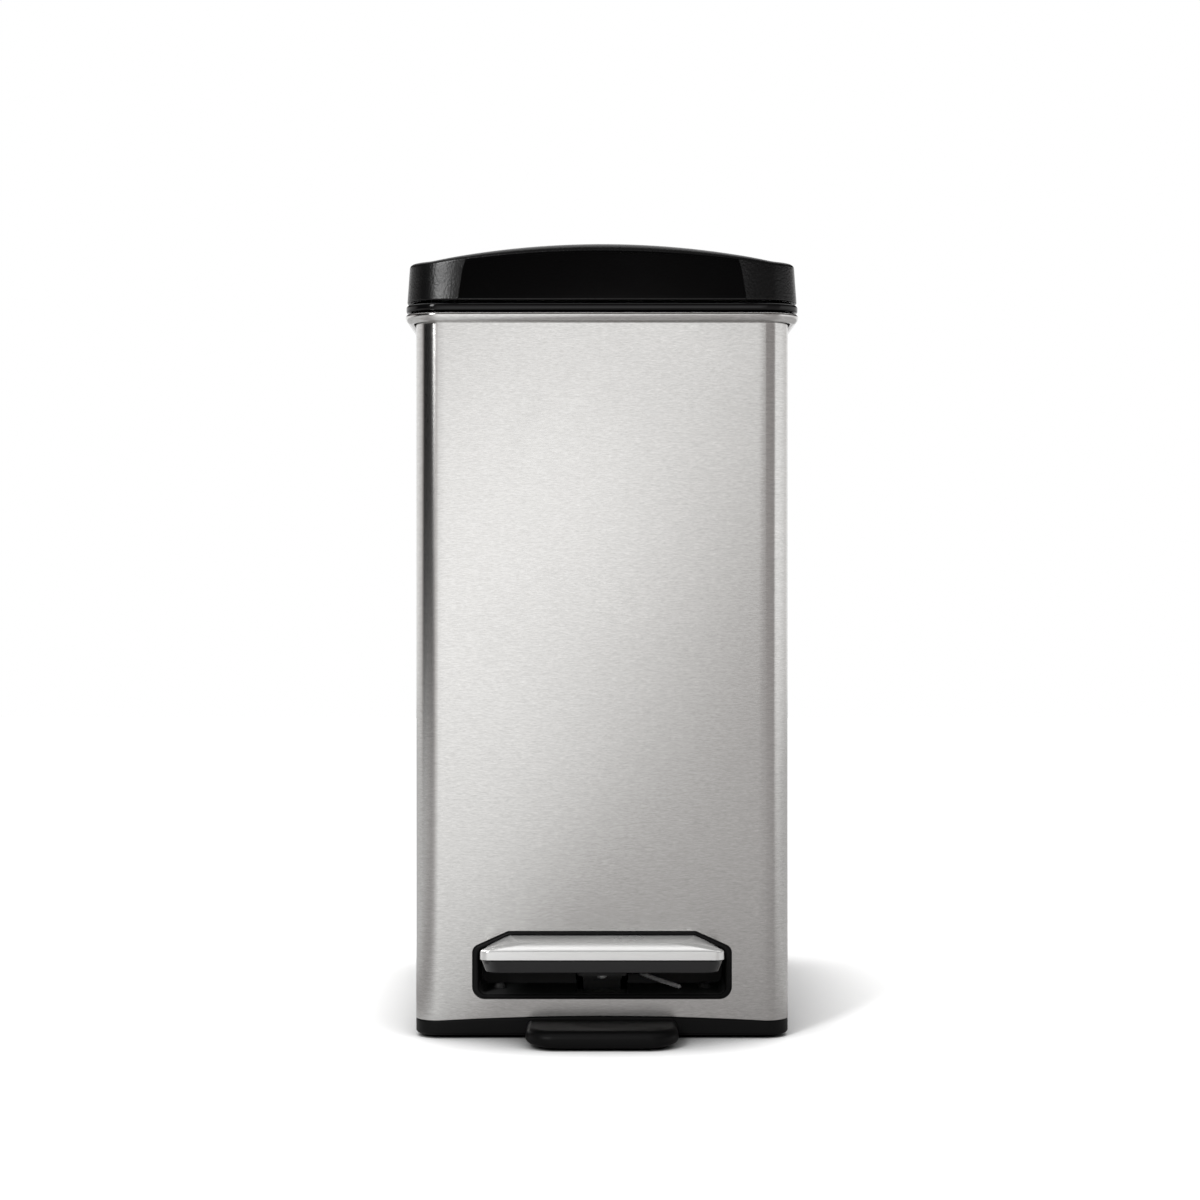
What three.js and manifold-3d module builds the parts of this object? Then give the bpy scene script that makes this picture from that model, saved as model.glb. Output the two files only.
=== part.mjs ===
// A slim pedal trash can: stainless wrapper, moulded lid on a rear hinge, lift-out bucket, and a foot
// lever that raises the lid through a lift rod. Millimetres, +Z up, front towards -Y, floor at Z = 0.

import * as THREE from "three";
import { mergeVertices } from "three/addons/utils/BufferGeometryUtils.js";
import Module from "manifold-3d";

const wasm = await Module();
wasm.setup();

// ---------------------------------------------------------------- driving dimensions

const GAP = 0.3; // left between two pieces that touch
const RUN = 0.08; // radial clearance of a pin in its bore
const PAST = 2; // how far a cutting body reaches past the face that it opens
const THREAD_R = 1.5; // hole that a screw cuts its thread in
const CLEAR_R = 1.8; // hole that a screw passes through

const BODY = { halfX: 90, halfY: 131, corner: 11.5, sheet: 0.8 };
const FRONT = -BODY.halfY;
const ORIGIN_SHIFT_Y = 14.5; // brings the middle of the whole object's depth to Y = 0

const FLOOR_GAP = 1.5; // height of the base's underside above the floor
const STEEL_BOTTOM = 8.6;
const STEEL_ARCH = 2.15; // rise of the steel's lower front edge at the middle
const BEAD = { out: 5, low: 343.8, crest: 347.1, top: 348.8 };
const COLLAR = { low: 349.1, top: 352.7, out: 4.75 };
const SKIRT = { low: 330, wall: 1.8, lead: 2, chamfer: 0.5 };

const MOUTH = { halfX: 81, front: -122, back: 92, corner: 9 };
const REBATE = { wide: 4, floor: COLLAR.low + 1.4 };
const BUCKET = { floor: 60, taper: 7, wall: 1.8, play: 0.6, corner: 15, bend: 3, lip: 1.7, straight: 12 };

const LID = { halfX: 94.5, front: -136, low: 354, side: 372.8, crown: 8.5, wall: 2.4, draft: 1.2 };
const HINGE = { y: 126.5, z: 363.4, barrel: 9.4, pin: 2, ears: 62, earHalf: 5.4, earRound: 6.2, earNeck: 5 };
const LID_BACK = HINGE.y + HINGE.barrel;
const HINGE_BORE_HALF = 12;

const CRANK = { radius: 22.6, rest: -39, pin: 2 }; // the lid's crank, degrees below level at rest
const CRANK_Y = HINGE.y - CRANK.radius * Math.cos(THREE.MathUtils.degToRad(CRANK.rest));
const CRANK_Z = HINGE.z + CRANK.radius * Math.sin(THREE.MathUtils.degToRad(CRANK.rest));
const CRANK_MIN_Y = HINGE.y - CRANK.radius;
const ROD_Y = (CRANK_Y + CRANK_MIN_Y) / 2;
const ROD_R = 2.5;

const PIVOT = { y: -66, z: 24.5, r: 3 };
const LEVER = { halfX: 12, sheet: 2, webLow: 28.7, front: -122, nose: -100, webBack: 94, back: 113 };
const LEVER_BELLY = 22.6; // lowest edge of the lever's flanges behind the axle
const LEVER_TOP = LEVER.webLow + LEVER.sheet;
const LEVER_PIN_Y = ROD_Y;
const LEVER_PIN_R = 2;

const WINDOW = { halfX: 62.2, low: 19.1, top: 51.6, halfTop: 45, shoulder: 43.9, corner: 6, bend: 4, crest: 3 };
const SLANT = { x: 0.25, z: 0.6 }; // how far the ends of the slanted corners move when the outline grows by 1
const HOUSING = { back: -94, wall: 1.9, halfX: 59.2, low: 21.2, top: 49.8, halfTop: 44.3, shoulder: 42.4 };

const PEDAL = {
  front: -161.5,
  back: -110,
  halfX: 57.2,
  sheet: 1.2,
  seam: 42.2,
  lip: 46.3, // height of the rim at the front; it falls towards the window and is level from there
  fall: 2.7,
  draw: 0.0175, // share by which the sides draw in over the same length
  level: -131.5,
  top: 49.2,
  topFront: -155,
  halfTop: 44.5,
};
const PEDAL_CORNER = { rim: 4.2, top: 7 };
const PEDAL_FOLD = { drop: 0.5, bevel: 0.07 }; // the fold starts below the rim and ends a little up the bevel
const TRAY = { low: 36, inset: 3.2, chamfer: 1.2, corner: 4 };
const PEDAL_SCREW_Y = -112;
const TOE = { halfLow: 36.2, halfTop: 34.4, front: -165, top: 9.5, corner: 14 };
const DAMPER = { y: 121.5, r: 7, wall: 1.15, low: 40, top: 110, plunger: 1.6 };

// ---------------------------------------------------------------- geometry helpers

const rad = THREE.MathUtils.degToRad;

// Turns a closed geometry into a solid that can be joined and cut.
function solid(geometry) {
  const bare = geometry.clone();
  bare.deleteAttribute("normal");
  bare.deleteAttribute("uv");
  const merged = mergeVertices(bare, 1e-4);
  const vertProperties = Float32Array.from(merged.attributes.position.array);
  const triVerts = Uint32Array.from(merged.index.array);
  return new wasm.Manifold(new wasm.Mesh({ numProp: 3, vertProperties, triVerts }));
}

function geometryOf(body) {
  const mesh = body.getMesh();
  const geometry = new THREE.BufferGeometry();
  geometry.setAttribute("position", new THREE.BufferAttribute(Float32Array.from(mesh.vertProperties), 3));
  geometry.setIndex(new THREE.BufferAttribute(Uint32Array.from(mesh.triVerts), 1));
  const flat = geometry.toNonIndexed();
  flat.computeVertexNormals();
  return flat;
}

// Arc points about a centre, from one angle to another in degrees.
function arc(cx, cy, r, from, to, steps) {
  const points = [];
  for (let i = 0; i <= steps; i += 1) {
    const a = rad(from + ((to - from) * i) / steps);
    points.push([cx + r * Math.cos(a), cy + r * Math.sin(a)]);
  }
  return points;
}

// A polygon with each corner [x, y, radius] replaced by a tangent arc.
function roundedOutline(corners, steps = 5) {
  const points = [];
  corners.forEach(([x, y, r], i) => {
    if (!r) {
      points.push([x, y]);
      return;
    }
    const before = corners[(i + corners.length - 1) % corners.length];
    const after = corners[(i + 1) % corners.length];
    const corner = new THREE.Vector2(x, y);
    const inward = new THREE.Vector2(before[0], before[1]).sub(corner).normalize();
    const onward = new THREE.Vector2(after[0], after[1]).sub(corner).normalize();
    const half = Math.acos(THREE.MathUtils.clamp(inward.dot(onward), -1, 1)) / 2;
    const middle = inward.clone().add(onward).normalize();
    const centre = corner.clone().addScaledVector(middle, r / Math.sin(half));
    const start = corner.clone().addScaledVector(inward, r / Math.tan(half)).sub(centre);
    const turn = Math.PI - 2 * half;
    const side = Math.sign(inward.x * onward.y - inward.y * onward.x) || 1;
    for (let k = 0; k <= steps; k += 1) {
      const p = start.clone().rotateAround(new THREE.Vector2(), (-side * turn * k) / steps).add(centre);
      points.push([p.x, p.y]);
    }
  });
  return points;
}

function rectangle(x0, x1, y0, y1, r = 0, steps = 5) {
  return roundedOutline([[x0, y0, r], [x1, y0, r], [x1, y1, r], [x0, y1, r]], steps);
}

const shapeOf = (points) => new THREE.Shape(points.map(([x, y]) => new THREE.Vector2(x, y)));

function extrude(points, depth) {
  return new THREE.ExtrudeGeometry(shapeOf(points), { depth, bevelEnabled: false });
}

// Prisms along each axis; the outline is given in the two other axes, in X, Y, Z order.
function prismZ(points, z0, z1) {
  return solid(extrude(points, z1 - z0).translate(0, 0, z0));
}

function prismY(points, y0, y1) {
  return solid(extrude(points, y1 - y0).rotateX(Math.PI / 2).translate(0, y1, 0));
}

function prismX(points, x0, x1) {
  const turn = new THREE.Matrix4().makeBasis(
    new THREE.Vector3(0, 1, 0),
    new THREE.Vector3(0, 0, 1),
    new THREE.Vector3(1, 0, 0),
  );
  return solid(extrude(points, Math.abs(x1 - x0)).applyMatrix4(turn).translate(Math.min(x0, x1), 0, 0));
}

function block(x0, x1, y0, y1, z0, z1) {
  const box = new THREE.BoxGeometry(x1 - x0, y1 - y0, z1 - z0);
  return solid(box.translate((x0 + x1) / 2, (y0 + y1) / 2, (z0 + z1) / 2));
}

// Round bars along Z and X. Facets of a pin and its bore start at the same angle.
function barZ(x, y, r, z0, z1, sides = 18) {
  return prismZ(arc(x, y, r, 0, 360 - 360 / sides, sides - 1), z0, z1);
}

function barX(y, z, r, x0, x1, sides = 18) {
  return prismX(arc(y, z, r, 0, 360 - 360 / sides, sides - 1), x0, x1);
}

// Joins rings of points into one skin: open ends get caps, a closed loft joins its last ring to its first.
function loft(rings, closed = false) {
  const count = rings[0].length;
  const positions = rings.flat(2);
  const index = [];
  const spans = closed ? rings.length : rings.length - 1;
  for (let s = 0; s < spans; s += 1) {
    const a = s * count;
    const b = ((s + 1) % rings.length) * count;
    for (let i = 0; i < count; i += 1) {
      const j = (i + 1) % count;
      index.push(a + i, a + j, b + j, a + i, b + j, b + i);
    }
  }
  if (!closed) {
    [0, rings.length - 1].forEach((ring) => {
      const middle = positions.length / 3;
      const mean = [0, 1, 2].map((k) => rings[ring].reduce((sum, p) => sum + p[k], 0) / count);
      positions.push(...mean);
      for (let i = 0; i < count; i += 1) {
        const j = (i + 1) % count;
        const a = ring * count + i;
        const b = ring * count + j;
        index.push(...(ring === 0 ? [middle, b, a] : [middle, a, b]));
      }
    });
  }
  const geometry = new THREE.BufferGeometry();
  geometry.setAttribute("position", new THREE.BufferAttribute(Float32Array.from(positions), 3));
  geometry.setIndex(index);
  const body = solid(geometry);
  if (body.volume() > 0) return body;
  const flipped = [];
  for (let i = 0; i < index.length; i += 3) flipped.push(index[i], index[i + 2], index[i + 1]);
  geometry.setIndex(flipped);
  return solid(geometry);
}

// Sweeps a closed profile of [offset from the steel's outer face, height] round the body's outline.
function roundBody(profile, steps = 6) {
  const rings = profile.map(([offset, z]) => {
    const x = BODY.halfX + offset;
    const y = BODY.halfY + offset;
    return rectangle(-x, x, -y, y, BODY.corner + offset, steps).map(([px, py]) => [px, py, z]);
  });
  return loft(rings, true);
}

// The same, filled in: a stack of outlines with the given offsets and heights.
function stackBody(levels, steps = 6) {
  const rings = levels.map(([offset, z]) => {
    const x = BODY.halfX + offset;
    const y = BODY.halfY + offset;
    return rectangle(-x, x, -y, y, BODY.corner + offset, steps).map(([px, py]) => [px, py, z]);
  });
  return loft(rings);
}

function mirrored(build) {
  return build(-1).add(build(1));
}

// ---------------------------------------------------------------- materials

const steel = { color: 0xb9b8b5, roughness: 0.34, metalness: 1 };
const plating = { color: 0xc9cacb, roughness: 0.25, metalness: 1 };
const blackGloss = { color: 0x141414, roughness: 0.3, metalness: 0 };
const blackMatte = { color: 0x1c1c1c, roughness: 0.62, metalness: 0 };
const greyPlastic = { color: 0x3a3c3d, roughness: 0.5, metalness: 0 };
const bucketPlastic = { color: 0x4a4c4e, roughness: 0.55, metalness: 0 };
const paintedSteel = { color: 0x202122, roughness: 0.45, metalness: 0.2 };
const zincWire = { color: 0x9fa3a3, roughness: 0.3, metalness: 1 };
const rubber = { color: 0x101010, roughness: 0.9, metalness: 0 };
const damperPlastic = { color: 0xd6d8d4, roughness: 0.4, metalness: 0 };

const can = new THREE.Group();
can.position.y = ORIGIN_SHIFT_Y;

function add(name, body, look) {
  const material = new THREE.MeshStandardMaterial(look);
  const mesh = new THREE.Mesh(geometryOf(body), material);
  mesh.name = name;
  can.add(mesh);
}

// ---------------------------------------------------------------- stainless wrapper

// A window with slanted upper corners, grown or shrunk all round.
function slantedOutline({ halfX, low, top, halfTop, shoulder }, grow, corner, bend, crest) {
  const x = halfX + grow;
  const topX = halfTop + grow * SLANT.x;
  const shoulderZ = shoulder + grow * SLANT.z;
  return roundedOutline([
    [-x, low - grow, corner],
    [x, low - grow, corner],
    [x, shoulderZ, bend],
    [topX, top + grow, crest],
    [-topX, top + grow, crest],
    [-x, shoulderZ, bend],
  ]);
}

const windowOutline = (grow) =>
  slantedOutline(WINDOW, grow, WINDOW.corner + grow, WINDOW.bend + grow, WINDOW.crest);

// Shallow arch over the middle of the front's lower edge.
function frontArch(low, rise, y0, y1) {
  const half = BODY.halfX - BODY.corner;
  const r = (half * half + rise * rise) / (2 * rise);
  const sweep = THREE.MathUtils.radToDeg(Math.asin(half / r));
  const outline = arc(0, low + rise - r, r, 90 - sweep, 90 + sweep, 16);
  return prismY([[-half, low - PAST], [half, low - PAST], ...outline], y0, y1);
}

// One sheet: plain below, and curled outward at the top into an open hem.
function bodyShell() {
  const sheet = BODY.sheet;
  const { out, low, crest, top } = BEAD;
  const half = (out + sheet) / 2;
  const curl = (depth) => ([u, v]) =>
    [out - half + (half - depth) * u, crest + ((v > 0 ? top - crest : crest - low) - depth) * v];
  const hem = -108;
  const outer = arc(0, 0, 1, 180, hem, 8).map(curl(0));
  const inner = arc(0, 0, 1, hem, 180, 8).map(curl(sheet));
  const wall = roundBody([[-sheet, STEEL_BOTTOM], ...outer, ...inner, [0, STEEL_BOTTOM]]);
  return wall
    .subtract(prismY(windowOutline(0), FRONT - PAST, FRONT + PAST))
    .subtract(frontArch(STEEL_BOTTOM, STEEL_ARCH, FRONT - PAST, FRONT + PAST));
}

add("body_shell", bodyShell(), steel);

// ---------------------------------------------------------------- collar with hinge ears

const mouthOutline = (grow) =>
  rectangle(
    -MOUTH.halfX - grow,
    MOUTH.halfX + grow,
    MOUTH.front - grow,
    MOUTH.back + grow,
    MOUTH.corner + grow,
  );

const ROD_SLOT = { halfX: 11.5, front: 98.5, back: 115, corner: 2 };
const SCOOP = { halfX: 3.2, front: -46, back: 16, corner: 3 }; // finger scoops beside the bucket's lip

// An ear: round head on the hinge axis, straight neck down to the deck.
function hingeEar(side) {
  const { y, z, earRound, ears, earHalf, earNeck } = HINGE;
  const head = arc(y, z, earRound, -30, 210, 14);
  const root = (COLLAR.low + COLLAR.top) / 2;
  const outline = [[y - earNeck, root], [y + earNeck, root], ...head];
  return prismX(outline, side * ears - earHalf, side * ears + earHalf);
}

function hingeBore(side) {
  const x = side * HINGE.ears;
  return barX(HINGE.y, HINGE.z, HINGE.pin + RUN, x - HINGE_BORE_HALF, x + HINGE_BORE_HALF);
}

function topCollar() {
  const { low, top, out } = COLLAR;
  const deck = stackBody([
    [out - 0.9, low],
    [out - 0.2, low + 0.7],
    [out, low + 1.7],
    [out - 0.3, low + 2.8],
    [out - 1.3, top],
  ]);
  const outer = -BODY.sheet - GAP;
  const inner = outer - SKIRT.wall;
  const skirt = roundBody([
    [inner, SKIRT.low],
    [outer - SKIRT.chamfer, SKIRT.low],
    [outer, SKIRT.low + SKIRT.lead],
    [outer, low + 1],
    [inner, low + 1],
  ]);
  const scoops = mirrored((side) => {
    const x = side * (MOUTH.halfX + REBATE.wide);
    const outline = rectangle(x - SCOOP.halfX, x + SCOOP.halfX, SCOOP.front, SCOOP.back, SCOOP.corner);
    return prismZ(outline, REBATE.floor, top + PAST);
  });
  const { halfX, front, back, corner } = ROD_SLOT;
  const rodSlot = rectangle(-halfX, halfX, front, back, corner, 3);
  return deck
    .subtract(prismZ(mouthOutline(0), low - PAST, top + PAST))
    .subtract(prismZ(mouthOutline(REBATE.wide), REBATE.floor, top + PAST))
    .subtract(scoops)
    .subtract(prismZ(rodSlot, low - PAST, top + PAST))
    .add(skirt)
    .add(mirrored(hingeEar))
    .subtract(mirrored(hingeBore));
}

add("top_collar", topCollar(), blackGloss);

// ---------------------------------------------------------------- lift-out bucket

// Outlines of the tapered bucket, from its floor up to the lip that sits in the collar's rebate.
function bucketRing(shrink, z) {
  const inset = BUCKET.play + shrink;
  const x = MOUTH.halfX - inset;
  const outline = rectangle(-x, x, MOUTH.front + inset, MOUTH.back - inset, BUCKET.corner);
  return outline.map(([px, py]) => [px, py, z]);
}

function bucket() {
  const { floor, taper, wall, bend, straight } = BUCKET;
  const seat = REBATE.floor + GAP;
  const lip = seat + BUCKET.lip;
  const outer = loft([
    bucketRing(taper + bend, floor),
    bucketRing(taper, floor + bend + 1),
    bucketRing(0, seat - straight),
    bucketRing(0, lip),
  ]);
  const inner = loft([
    bucketRing(taper + bend + wall, floor + wall),
    bucketRing(taper + wall, floor + wall + bend),
    bucketRing(wall, seat - straight),
    bucketRing(wall, lip + PAST),
  ]);
  const flange = prismZ(mouthOutline(REBATE.wide - 0.5), seat, lip);
  return outer.add(flange).subtract(inner);
}

add("bucket", bucket(), bucketPlastic);

// ---------------------------------------------------------------- lid

// The crown: a round arch across the width, full height at the front and level with the sides at the hinge.
const CROWN = { half: 81.7, level: 104, run: 240, blendX: 0.05, blendY: 0.03 };
const FLAT_HALF = 67; // half width of the straight part of the front
const CORNER_A = { r: 60, turn: 12.5 };
const CREASE = { low: 69, top: 65.5, tall: 19.5 }; // half width between the creases at the lid's foot and top
const FACET = { recess: 0.7, ledge: 0.35 };
const LID_EDGE = 1.8;
const BACK_R = 18;

// Rises from nothing to t round zero without a corner.
const swell = (t, blend) => (t + Math.hypot(t, blend)) / 2;

function crownHeight(x, y) {
  const across = swell(1 - (x / CROWN.half) ** 2, CROWN.blendX);
  const along = Math.min(swell((CROWN.level - y) / CROWN.run, CROWN.blendY), 1);
  return LID.crown * across * Math.sin((along * Math.PI) / 2);
}

// Plan of the lid as columns [x, y, outward normal, 1 in the facet], for creases at a given half width.
function lidPlan(crease) {
  const { halfX, front } = LID;
  const turn = rad(CORNER_A.turn);
  const endX = FLAT_HALF + CORNER_A.r * Math.sin(turn);
  const endY = front + CORNER_A.r * (1 - Math.cos(turn));
  const r = (halfX - endX) / (1 - Math.sin(turn));
  const half = [];
  const put = (x, y, a, flat = 0) => half.push([x, y, Math.sin(a), -Math.cos(a), flat]);
  const inner = crease - FACET.ledge / 2;
  [0.25, 0.5, 0.75, 1].forEach((share) => put(inner * share, front, 0, 1));
  [0, 0.55].forEach((share) => {
    const x = THREE.MathUtils.lerp(crease + FACET.ledge / 2, endX, share);
    const a = Math.asin(Math.max(0, x - FLAT_HALF) / CORNER_A.r);
    put(x, front + CORNER_A.r * (1 - Math.cos(a)), a);
  });
  for (let k = 0; k <= 4; k += 1) {
    const a = turn + ((Math.PI / 2 - turn) * k) / 4;
    put(halfX - r + r * Math.sin(a), endY + r * (Math.cos(turn) - Math.cos(a)), a);
  }
  [-60, 0, 60, 100].forEach((y) => put(halfX, y, Math.PI / 2));
  for (let k = 0; k <= 3; k += 1) {
    const a = (Math.PI / 2) * (1 + k / 3);
    put(halfX - BACK_R + BACK_R * Math.sin(a), LID_BACK - BACK_R - BACK_R * Math.cos(a), a);
  }
  [50, 20].forEach((x) => put(x, LID_BACK, Math.PI));
  const left = half.map(([x, y, nx, ny, flat]) => [-x, y, -nx, ny, flat]).reverse();
  return [[0, front, 0, -1, 1], ...half, [0, LID_BACK, 0, 1, 0], ...left];
}

// A crowned block with drafted sides. An inset makes the smaller one that hollows it; only the outside has
// the rounded foot and the facet, a flat a little behind the corners, between slanted creases and the crown.
function lidBlock(inset, low) {
  const outside = inset === 0;
  const rings = [];
  const ring = (crease, level) => {
    rings.push(lidPlan(crease).map(([x, y, nx, ny, flat]) => {
      const radius = 1.9 + 0.28 * crownHeight(x, y);
      const shoulder = LID.side + crownHeight(x, y) - radius - inset;
      const [push, z, sunk] = level(x, y, nx, ny, radius, shoulder);
      const recess = outside ? FACET.recess * flat * sunk : 0;
      return [x - nx * (inset + push), y - ny * (inset + push) + recess, z];
    }));
  };
  const fillet = (degrees) => (x, y, nx, ny, radius) => {
    const push = LID.draft + radius * (1 - Math.cos(rad(degrees)));
    const top = LID.side + crownHeight(x - nx * push, y - ny * push) - inset;
    return [push, top - radius * (1 - Math.sin(rad(degrees))), 0];
  };
  const creaseAt = (z) => THREE.MathUtils.lerp(CREASE.low, CREASE.top, (z - LID.low) / CREASE.tall);
  (outside ? [20, 55, 90] : [90]).forEach((degrees) => {
    const z = low + (outside ? LID_EDGE * (1 - Math.cos(rad(degrees))) : 0);
    ring(creaseAt(z), () => [LID_EDGE * (1 - Math.sin(rad(degrees))), z, 1]);
  });
  if (outside) ring(CREASE.top, (x, y, nx, ny, radius, shoulder) => [LID.draft, shoulder - FACET.ledge, 1]);
  (outside ? [0, 45, 90] : [0, 90]).forEach((degrees) => ring(CREASE.top, fillet(degrees)));
  ring(CREASE.top, (x, y, nx, ny, radius) => {
    const push = LID.draft + radius + 6;
    return [push, LID.side + crownHeight(x - nx * push, y - ny * push) - inset, 0];
  });
  const last = rings[rings.length - 1];
  [0.7, 0.35].forEach((share) => {
    const shrunk = last.map(([x, y]) => [x * share, y * share]);
    rings.push(shrunk.map(([x, y]) => [x, y, LID.side + crownHeight(x, y) - inset]));
  });
  return loft(rings);
}

// Side view of the lid's outside: round at the back about the hinge axis, free above.
function lidSide(low, radius) {
  const round = arc(HINGE.y, HINGE.z, radius, -90, 90, 10);
  const ahead = LID.front - PAST;
  const free = LID.side + 2 * LID.crown;
  const outline = [[ahead, low], [HINGE.y, low], ...round, [CROWN.level, free], [ahead, free]];
  return prismX(outline, -LID.halfX - PAST, LID.halfX + PAST);
}

const ARM_SCREWS = { x: 11.5, y: 106, head: 366.2, boss: 3.4, bossLow: 368.9, hole: 371.4 };
const CHEEK = { middle: 2.5, half: 1.5, front: 114, low: 355.5 }; // walls that hold the pins, beside each ear
const NOTCH = { room: 1, front: 118.5, above: 5.4 }; // room for an ear to stand in

function lidShell() {
  const below = LID.low - PAST;
  const outside = lidBlock(0, LID.low).intersect(lidSide(below, HINGE.barrel));
  const hollow = lidBlock(LID.wall, below).intersect(lidSide(below, HINGE.barrel - LID.wall));
  const cheeks = mirrored((side) =>
    mirrored((inner) => {
      const x = side * HINGE.ears + inner * (HINGE.earHalf + CHEEK.middle);
      return block(x - CHEEK.half, x + CHEEK.half, CHEEK.front, LID_BACK + PAST, CHEEK.low, LID.side + PAST);
    }),
  ).intersect(outside);
  const notches = mirrored((side) => {
    const x = side * HINGE.ears;
    const half = HINGE.earHalf + NOTCH.room;
    return block(x - half, x + half, NOTCH.front, LID_BACK + PAST, below, HINGE.z + NOTCH.above);
  });
  const { x, y, boss, bossLow, hole } = ARM_SCREWS;
  const bosses = mirrored((side) => barZ(side * x, y, boss, bossLow, LID.side - 0.8, 16));
  const screwHoles = mirrored((side) => barZ(side * x, y, THREAD_R, bossLow - PAST, hole, 12));
  return outside
    .subtract(hollow)
    .add(cheeks)
    .subtract(notches)
    .subtract(mirrored(hingeBore))
    .add(bosses.intersect(outside))
    .subtract(screwHoles);
}

add("lid", lidShell(), blackGloss);

const LINER = { halfX: 90.6, front: -131, back: 111, corner: 15, low: 358.6, top: 362.6, floor: 1.6, rim: 1.8 };
const CRANK_BAY = { halfX: 20, front: 95 };
const RIBS = { at: [-60, 0, 60], half: 0.9, top: 362.4 };

// Inner panel that closes the lid's underside, open at the back for the crank and the hinge.
function lidLiner() {
  const { halfX, front, back, low, floor, top, rim, corner } = LINER;
  const plan = (inset) =>
    roundedOutline(
      [
        [-halfX + inset, front + inset, corner],
        [halfX - inset, front + inset, corner],
        [halfX - inset, back - inset, rim],
        [-halfX + inset, back - inset, rim],
      ],
      6,
    );
  const pan = prismZ(plan(0), low, top).subtract(prismZ(plan(rim), low + floor, top + PAST));
  const bay = block(-CRANK_BAY.halfX, CRANK_BAY.halfX, CRANK_BAY.front, back + PAST, low - PAST, top + PAST);
  const reach = halfX - rim / 2;
  const ribs = RIBS.at.map((y) => block(-reach, reach, y - RIBS.half, y + RIBS.half, low + 1, RIBS.top));
  return ribs.reduce((sum, rib) => sum.add(rib), pan).subtract(bay);
}

add("lid_liner", lidLiner(), greyPlastic);

const BUMPER = { x: 87.2, y: -96, r: 2.6 };
const PIN_REACH = 4; // how far a hinge pin stands out of its ear

[["left", -1], ["right", 1]].forEach(([name, side]) => {
  const pad = barZ(side * BUMPER.x, BUMPER.y, BUMPER.r, COLLAR.top + GAP, LINER.low - GAP, 16);
  add(`lid_bumper_${name}`, pad, rubber);
  const x = side * HINGE.ears;
  const halfPin = HINGE.earHalf + PIN_REACH;
  add(`hinge_pin_${name}`, barX(HINGE.y, HINGE.z, HINGE.pin, x - halfPin, x + halfPin), zincWire);
});

// ---------------------------------------------------------------- crank arm under the lid

const ARM = { inner: 5.4, outer: 8.4, eye: 4.2, top: 368.4, front: 102, back: 121, relief: 6.4 };
const ARM_FLANGE = { halfX: 15, front: 100.5, corner: 2.5 };

// A plate between two faces on either side of the middle.
function cheekPair(outline, inner, outer) {
  return mirrored((side) => prismX(outline, side * inner, side * outer));
}

function lidArm() {
  const eye = arc(CRANK_Y, CRANK_Z, ARM.eye, 150, 350, 12);
  const behind = [[113.4, 354.5], [ARM.back, 361], [ARM.back, ARM.top]];
  const outline = [...eye, ...behind, [ARM.front, ARM.top], [ARM.front, 357]];
  const { halfX, front, corner } = ARM_FLANGE;
  const plan = rectangle(-halfX, halfX, front, ARM.back, corner, 3);
  const { x, y, head } = ARM_SCREWS;
  const holes = mirrored((side) => barZ(side * x, y, CLEAR_R, head - PAST, ARM.top + PAST, 12));
  return cheekPair(outline, ARM.inner, ARM.outer)
    .add(prismZ(plan, head, ARM.top))
    .subtract(holes)
    .subtract(barX(HINGE.y, HINGE.z, ARM.relief, -halfX - PAST, halfX + PAST))
    .subtract(barX(CRANK_Y, CRANK_Z, CRANK.pin + RUN, -ARM.outer - PAST, ARM.outer + PAST));
}

add("lid_arm", lidArm(), paintedSteel);
add("crank_pin", barX(CRANK_Y, CRANK_Z, CRANK.pin, -ARM.outer, ARM.outer), zincWire);

// A pan-head screw standing on a seat: the shank goes up or down from the seat.
function screw(x, y, seat, direction, headR, shankR, shankLength) {
  const h = headR * 0.75;
  const profile = [
    [0, -h],
    [headR * 0.7, -h],
    [headR, -h * 0.4],
    [headR, 0],
    [shankR, 0],
    [shankR, shankLength],
    [0, shankLength],
  ].map(([u, v]) => new THREE.Vector2(u, v));
  const body = new THREE.LatheGeometry(profile, 10).rotateX(Math.PI / 2);
  if (direction < 0) body.rotateX(Math.PI);
  return solid(body.translate(x, y, seat));
}

[["left", -1], ["right", 1]].forEach(([name, side]) => {
  const seat = ARM_SCREWS.head - GAP;
  add(`lid_arm_screw_${name}`, screw(side * ARM_SCREWS.x, ARM_SCREWS.y, seat, 1, 2.6, 1.3, 5), zincWire);
});

// ---------------------------------------------------------------- lift rod

const YOKE = { low: 334, halfX: 4.6, front: 99.3, back: 113.6, above: 5, socket: 8 };
const FOOT = { low: 19.4, top: 37, halfX: 9.4, front: 98.4, back: 112.4, socket: 7, slotFront: 4.6 };
const SLOT_PLAY = 0.5; // room above, below and beyond a pin in its slot

// Yoke: a level slot takes the crank pin's small fore-and-aft travel.
function rodYoke() {
  const { low, halfX, front, back, above, socket } = YOKE;
  const room = CRANK.pin + SLOT_PLAY;
  const slot = rectangle(CRANK_MIN_Y - room, CRANK_Y + room, CRANK_Z - room, CRANK_Z + room, 1.6, 4);
  return prismX(rectangle(front, back, low, CRANK_Z + above, 2, 3), -halfX, halfX)
    .subtract(prismX(slot, -halfX - PAST, halfX + PAST))
    .subtract(barZ(0, ROD_Y, ROD_R + RUN, low - PAST, low + socket));
}

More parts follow.
